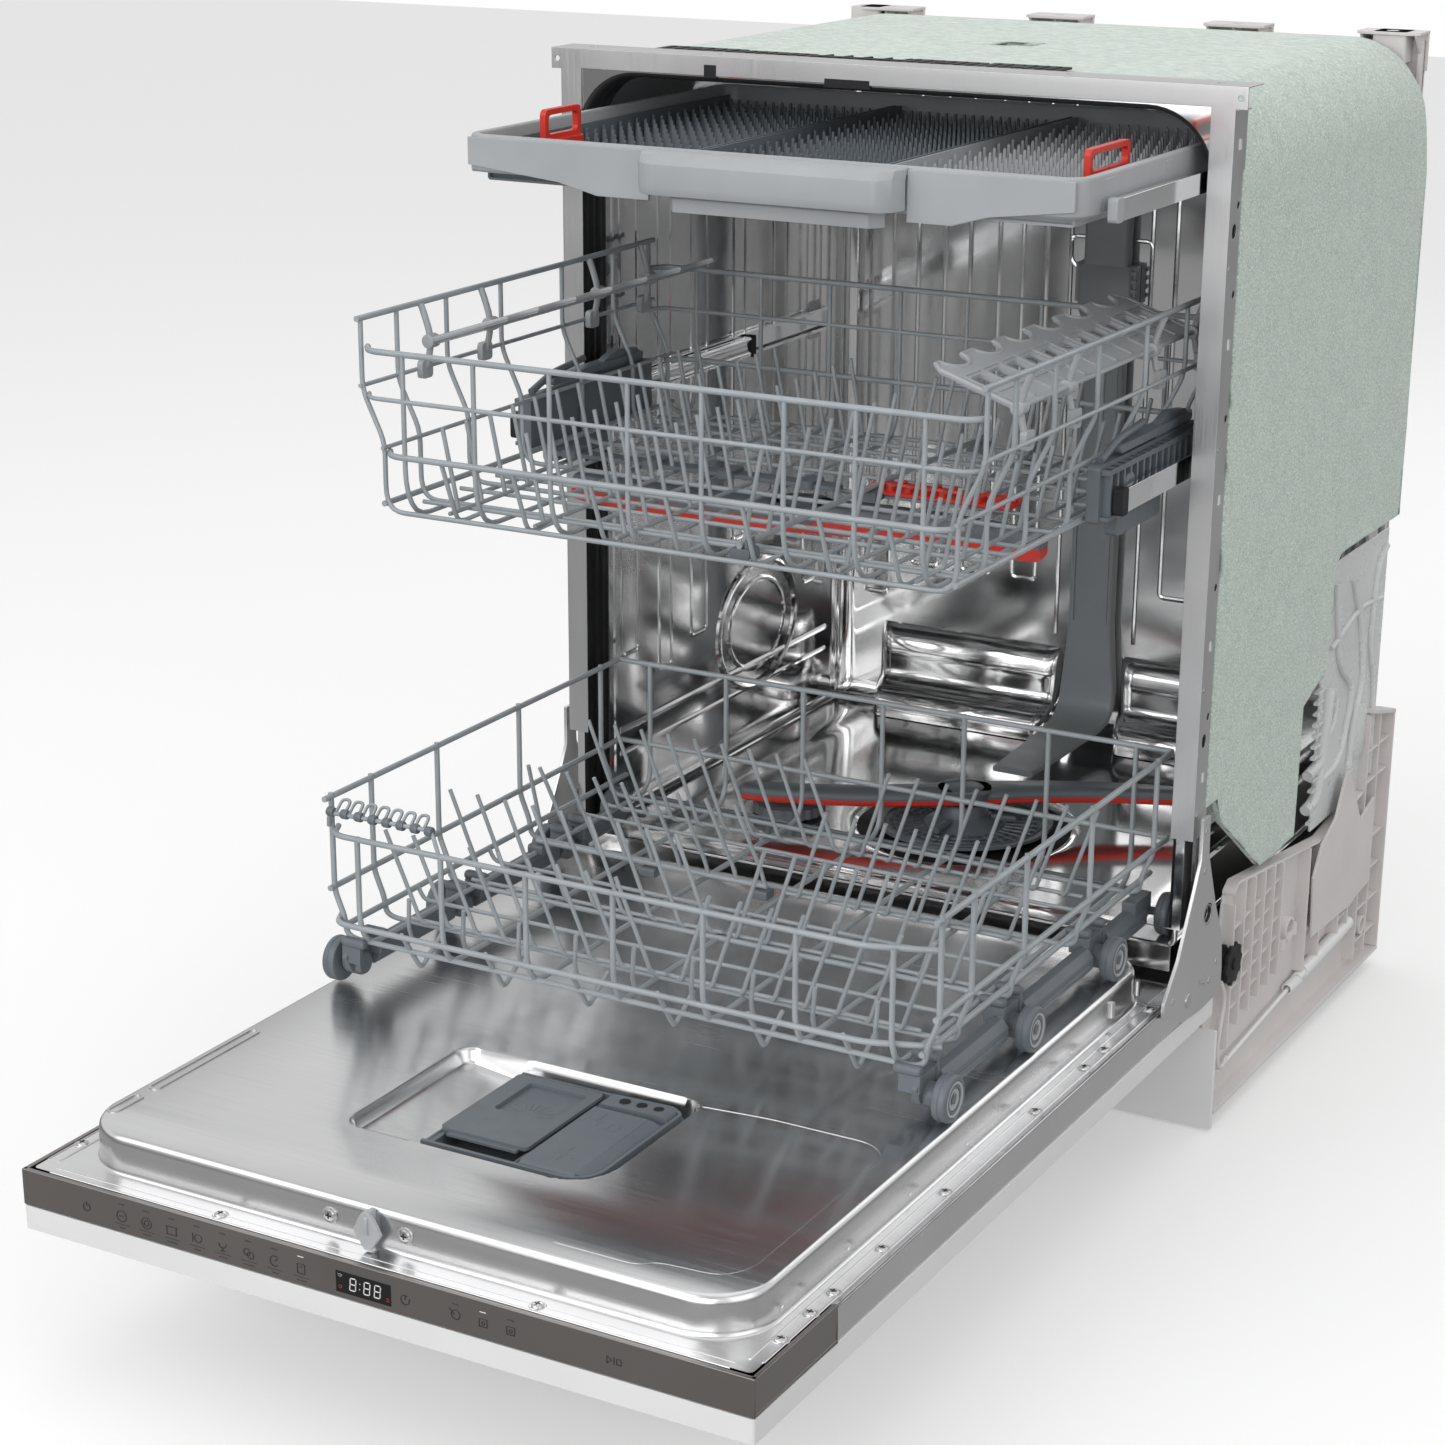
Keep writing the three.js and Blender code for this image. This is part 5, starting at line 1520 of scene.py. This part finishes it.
def cup_shelves():
    """Slotted shelves that fold at the sides, and the arms that hold them."""
    angle = math.radians(18)
    pivot, depth = Vector((246, -100, 666)), 73
    for side, sign in SIDES:
        shelf = Shape()
        inner, outer = pivot.x - depth, pivot.x - 2
        edge = [(outer, -266), (outer, 66), (inner + 8, 66), (inner, 58)]
        for y in evenly(34, -234, 6):
            edge += [(inner + 13 * math.sin(a), y + 18 * math.cos(a)) for a in evenly(0, math.pi, 9)]
        edge += [(inner, -258), (inner + 8, -266)]
        slots = [rounded(inner + 26, outer - 26, y - 9, y + 9, 3, 3)[::-1] for y in evenly(46, -246, 11)]
        shelf.prism(edge, "z", 664.6, 667.4, holes=slots)
        shelf.tube(level(edge, 667), 1.7, 8, closed=True)
        for y in evenly(60, -260, 12):
            shelf.block(inner + 20, outer - 4, y - 1.4, y + 1.4, 662.2, 668.6)
        for x in (inner + 22, outer - 22):
            shelf.block(x - 1.4, x + 1.4, -262, 62, 662.4, 668.4)
        for y in (-262, -180, -20, 62):
            shelf.lathe([(3.6, -6), (5.4, -5), (5.4, 5), (3.6, 6)], (pivot.x - 3, y, pivot.z), "y", 14)
        shelf = shelf.turned(Matrix.Rotation(angle, 3, "Y"), pivot)
        part(f"cup_shelf_{side}_detail", shelf.on_side(sign), "shelf", f"cup_shelf_{side}",
             [f"cup_shelf_{side}"], soften=0.35)
        arms = Shape()
        for y in (-262, -180, -20, 62):
            arms.wire([(252, y, 694), (248, y, 684), (243, y, 668), (247, y, 648), (253, y, 642)], 2.6, 8)
            arms.prism(rounded(y - 7, y + 7, 638, 652, 3, 3), "x", 247, 252)
        part(f"shelf_holders_{side}", arms.on_side(sign), "shelf", "upper_basket", smooth=45)


def channel(lower_half, middle):
    """A rail's section, from the half that lies below its middle height."""
    return lower_half + [(x, 2 * middle - z) for x, z in lower_half[::-1]]


def runners():
    """Rails on the tub for the upper basket, and the slides that the basket and the tray ride on."""
    basket_rail, tray_level = 573, 789
    for side, sign in SIDES:
        rail = Shape()
        low, high = corners(f"upper_rail_{side}")
        x0, x1 = sorted((abs(low.x), abs(high.x)))
        lower_half = [(x1 - 0.6, 562), (x0 + 0.8, 562), (x0 + 0.8, 565), (x1 - 2.4, 566.4)]
        rail.prism(channel(lower_half, basket_rail), "y", 44, 438)
        for y in (90, 240, 400):
            rail.lathe([(5, 0), (5, 1.4), (3, 2)], (x1 - 2.8, y, basket_rail), "x", 16)
        part(f"upper_rail_{side}_detail", rail.on_side(sign), "chrome", "cabinet",
             [f"upper_rail_{side}"], soften=0.3)
        holders = Shape()
        for y in (60, 420):
            holders.prism(rounded(y - 12, y + 12, 555, 591, 4, 4), "x", x1 - 0.8, x1 + 0.6)
        part(f"rail_holders_{side}", holders.on_side(sign), "white", "cabinet", soften=0.4)

        slide = Shape()
        lower_half = [(264.8, 564), (259.4, 564), (258.4, 566.4), (260.6, 570)]
        slide.prism(channel(lower_half, basket_rail), "y", -114, 276)
        part(f"upper_slide_{side}_detail", slide.on_side(sign), "chrome", "upper_runners",
             [f"upper_slide_{side}"], soften=0.3)
        caps = Shape()
        caps.prism(rounded(-122, -110, 562.6, 583.4, 3, 4), "x", 258, 265.3)
        caps.prism(rounded(270, 278, 563, 583, 2, 4), "x", 258.2, 265.2)
        part(f"slide_caps_{side}", caps.on_side(sign), "black", "upper_runners", soften=0.5)

        tray_rail = Shape()
        lower_half = [(267.8, 781), (262.6, 781), (261.4, 783.4), (263.4, 786)]
        tray_rail.prism(channel(lower_half, tray_level), "y", -158, 233)
        part(f"tray_rail_{side}_detail", tray_rail.on_side(sign), "chrome", "tray_runners",
             [f"tray_rail_{side}"], soften=0.3)
        ends = Shape()
        ends.prism(rounded(-165, -153, 780.4, 797.6, 3, 4), "x", 261, 268.4)
        part(f"tray_rail_caps_{side}", ends.on_side(sign), "shelf", "tray_runners",
             soften=0.5)


# ---- spray arms -----------------------------------------------------------------------------
def spray_arm(name, pivot, half, turn, z0, z1, wide):
    """A swept arm: grey top, red lower edge and a row of nozzles, with black bars of painted shade for their
    holes.
    """
    def layer(z, inset):
        """The arm's outline at height z: out along one edge, back along the other, and the same again."""
        line = []
        for way in (1, -1):
            for edge, steps in ((-1, evenly(0, 1, 17)), (1, evenly(1, 0, 17))):
                for t in steps:
                    width = (wide - inset) * (1 - 0.42 * t) * (1 if t < 0.96 else 0.72)
                    sweep = 9 * math.sin(math.pi * t)
                    line.append((way * (half - inset) * t, way * (sweep + edge * width), z))
        return line

    top, red, holes = Shape(), Shape(), Shape()
    tall = z1 - z0
    top.loft([layer(z0 + tall * a, inset)
              for a, inset in ((0.45, 0.4), (0.58, 0), (0.76, 0.6), (0.93, 2.6), (1.0, 5.0))])
    top.lathe([(25, z0 + tall * 0.4), (26, z1 - 1), (24, z1), (17, z1), (15, z1 - 1.6), (0.5, z1 - 1.6)],
              (0, 0, 0), "z", 36)
    red.loft([layer(z0 + tall * a, inset) for a, inset in ((0.0, 2.0), (0.14, 0.2), (0.45, 0.1))])
    for direction in (1, -1):
        for i, reach in enumerate(evenly(40, half - 14, 7)):
            offset = 9 * math.sin(math.pi * reach / half)
            spot = (direction * reach, direction * offset + (3 if i % 2 else -3), 0)
            top.lathe([(5.2, z1 - 1.6), (4.4, z1 - 0.1), (2.6, z1 - 0.1), (2.4, z1 - 1.0)], spot, "z", 14)
            # Black bars in the nozzles: painted shade for the holes.
            holes.prism(rounded(spot[0] - 2.6, spot[0] + 2.6, spot[1] - 0.9, spot[1] + 0.9, 0.8, 3), "z",
                        z1 - 1.0, z1 - 0.02)
    turned = Matrix.Rotation(math.radians(turn), 3, "Z")
    # The black nozzles piece is painted shade for the nozzle holes.
    for shape, finish, label in ((top, "dark", "top"), (red, "red", "edge"), (holes, "black", "nozzles")):
        moved = shape.turned(turned, (0, 0, 0))
        moved.verts = [(x + pivot[0], y + pivot[1], z) for x, y, z in moved.verts]
        part(f"{name}_{label}", moved, finish, name, [name] if label == "top" else (),
             smooth=40)


# ---- cutlery tray ---------------------------------------------------------------------------
def cutlery_tray():
    """Tray with its grip, ribbed combs and red clips."""
    low, high = corners("cutlery_tray")
    half, front, back, z0, z1 = 255.4, -195, 211.4, 772, high.z - 0.3
    tray = Shape()

    rim = z0 + 13

    def ring(inset, z):
        return level(rounded(-half + inset, half - inset, front + inset, back - inset,
                             16 - inset * 0.6, 6), z)

    tray.loft([ring(i, z) for i, z in ((8.8, rim), (3, rim), (0.6, rim + 2), (0, rim + 6), (0, z1 - 3),
                                       (0.8, z1 - 0.6), (2.2, z1), (5.2, z1), (6.4, z1 - 2), (8, rim + 3),
                                       (8.8, rim))], caps=(False, False))
    for x0, z_out, x1, z_in in ((-250, rim + 6, -90, z0 + 3), (250, rim + 6, 122, z0 + 3)):
        tray.prism([(x0, z1 - 2), (x1, z1 - 2), (x1, z_in), (x0 + (x1 - x0) * 0.72, z_in),
                    (x0 + (x1 - x0) * 0.5, rim - 2), (x0, z_out)], "y", front - 2.2, front + 1)
    for sign in (-1, 1):
        for y in (-150, -40, 70, 180):
            tray.block(*sorted((sign * (half - 1), sign * (half + 0.4))), y - 9, y + 9, rim + 3, z1 - 4)
    part("cutlery_tray_shell", tray, "shelf", "cutlery_tray", ["cutlery_tray"],
         soften=0.5)

    grip = Shape()
    lip = [(front + 2, 812), (front - 14, 813.4), (front - 24, 812), (front - 29.4, 806), (front - 29.8, 790),
           (front - 26.5, 783), (front - 23, 784), (front - 24.6, 791), (front - 24, 804), (front - 20, 808),
           (front + 2, 808)]
    grip.loft(swept(lip, front + 2, ((-92, 0.25), (-88, 0.7), (-80, 0.95), (-72, 1.0), (106, 1.0),
                                     (112, 0.95), (119, 0.7), (122, 0.25))))
    second = [(front + 1, 788), (front - 12, 786), (front - 16, 780), (front - 15, 770), (front - 11, 770),
              (front - 11, 778), (front + 1, 783)]
    grip.loft(swept(second, front + 1, ((-70, 0.3), (-62, 0.95), (98, 0.95), (106, 0.3))))
    part("tray_grip", grip, "shelf", "cutlery_tray", soften=0.6)

    low, high = corners("cutlery_insert")
    fields = ((low.x + 1, -82, "dark"), (-78, 78, "dark"), (82, high.x - 1, "shelf"))
    for k, (x0, x1, tint) in enumerate(fields):
        comb = Shape()
        slots = [rounded(x - 3, x + 3, y - 9, y + 9, 2, 2) for x in evenly(x0 + 10, x1 - 10, 9)
                 for y in evenly(low.y + 22, high.y - 22, 14)]
        comb.prism(rounded(x0, x1, low.y + 1, high.y - 1, 4, 3), "z", low.z + 0.2, low.z + 2.0, holes=slots)
        for y in evenly(low.y + 8, high.y - 8, 15):
            comb.block(x0 + 1, x1 - 1, y - 0.9, y + 0.9, low.z + 1.6, low.z + 7)
            for x in evenly(x0 + 5, x1 - 5, 19):
                comb.prism([(x - 2, low.z + 6), (x + 2, low.z + 6), (x + 0.9, high.z - 8), (x, high.z - 7),
                            (x - 0.9, high.z - 8)], "y", y - 0.9, y + 0.9)
        for x in (x0 + 0.6, x1 - 0.6):
            comb.block(x - 0.9, x + 0.9, low.y + 3, high.y - 3, low.z + 1, high.z - 4)
        part(f"cutlery_comb_{k + 1}", comb, tint, "cutlery_tray",
             ["cutlery_insert"] if k == 0 else ())

    clips = Shape()
    for x, y0, y1, top in ((-212, -150, -98, 829), (232, -136, -62, 826)):
        loop = rounded(y0, y1, 800, top, 5, 5)
        gap = rounded(y0 + 5, y1 - 5, 810, top - 4.5, 3.5, 5)
        clips.prism(loop, "x", x - 2.6, x + 2.6, holes=[gap])
        clips.prism(rounded(x - 6.5, x + 6.5, y0 + 1, y1 - 1, 3, 3), "z", 799, 806)
    part("tray_red_clips", clips, "red", "cutlery_tray", soften=0.7)


# ---- everything together --------------------------------------------------------------------
FINISHES = make_finishes()
camera()
studio()
stage_floor()

for build in (tub, tub_floor, front_frame, gasket, felt_cover, base, rear, tank, base_inside, hinges,
              control_modules, water_duct, sump, door_shell, door_liner, dispenser, control_strip,
              lower_basket, wheels, upper_basket, cup_shelves, runners, cutlery_tray):
    build()
spray_arm("lower_spray_arm", (0, 200), 199, 27.6, 202.4, 214.6, 19)
spray_arm("upper_spray_arm", (0, -120), 204, 0, 521.6, 543, 19)
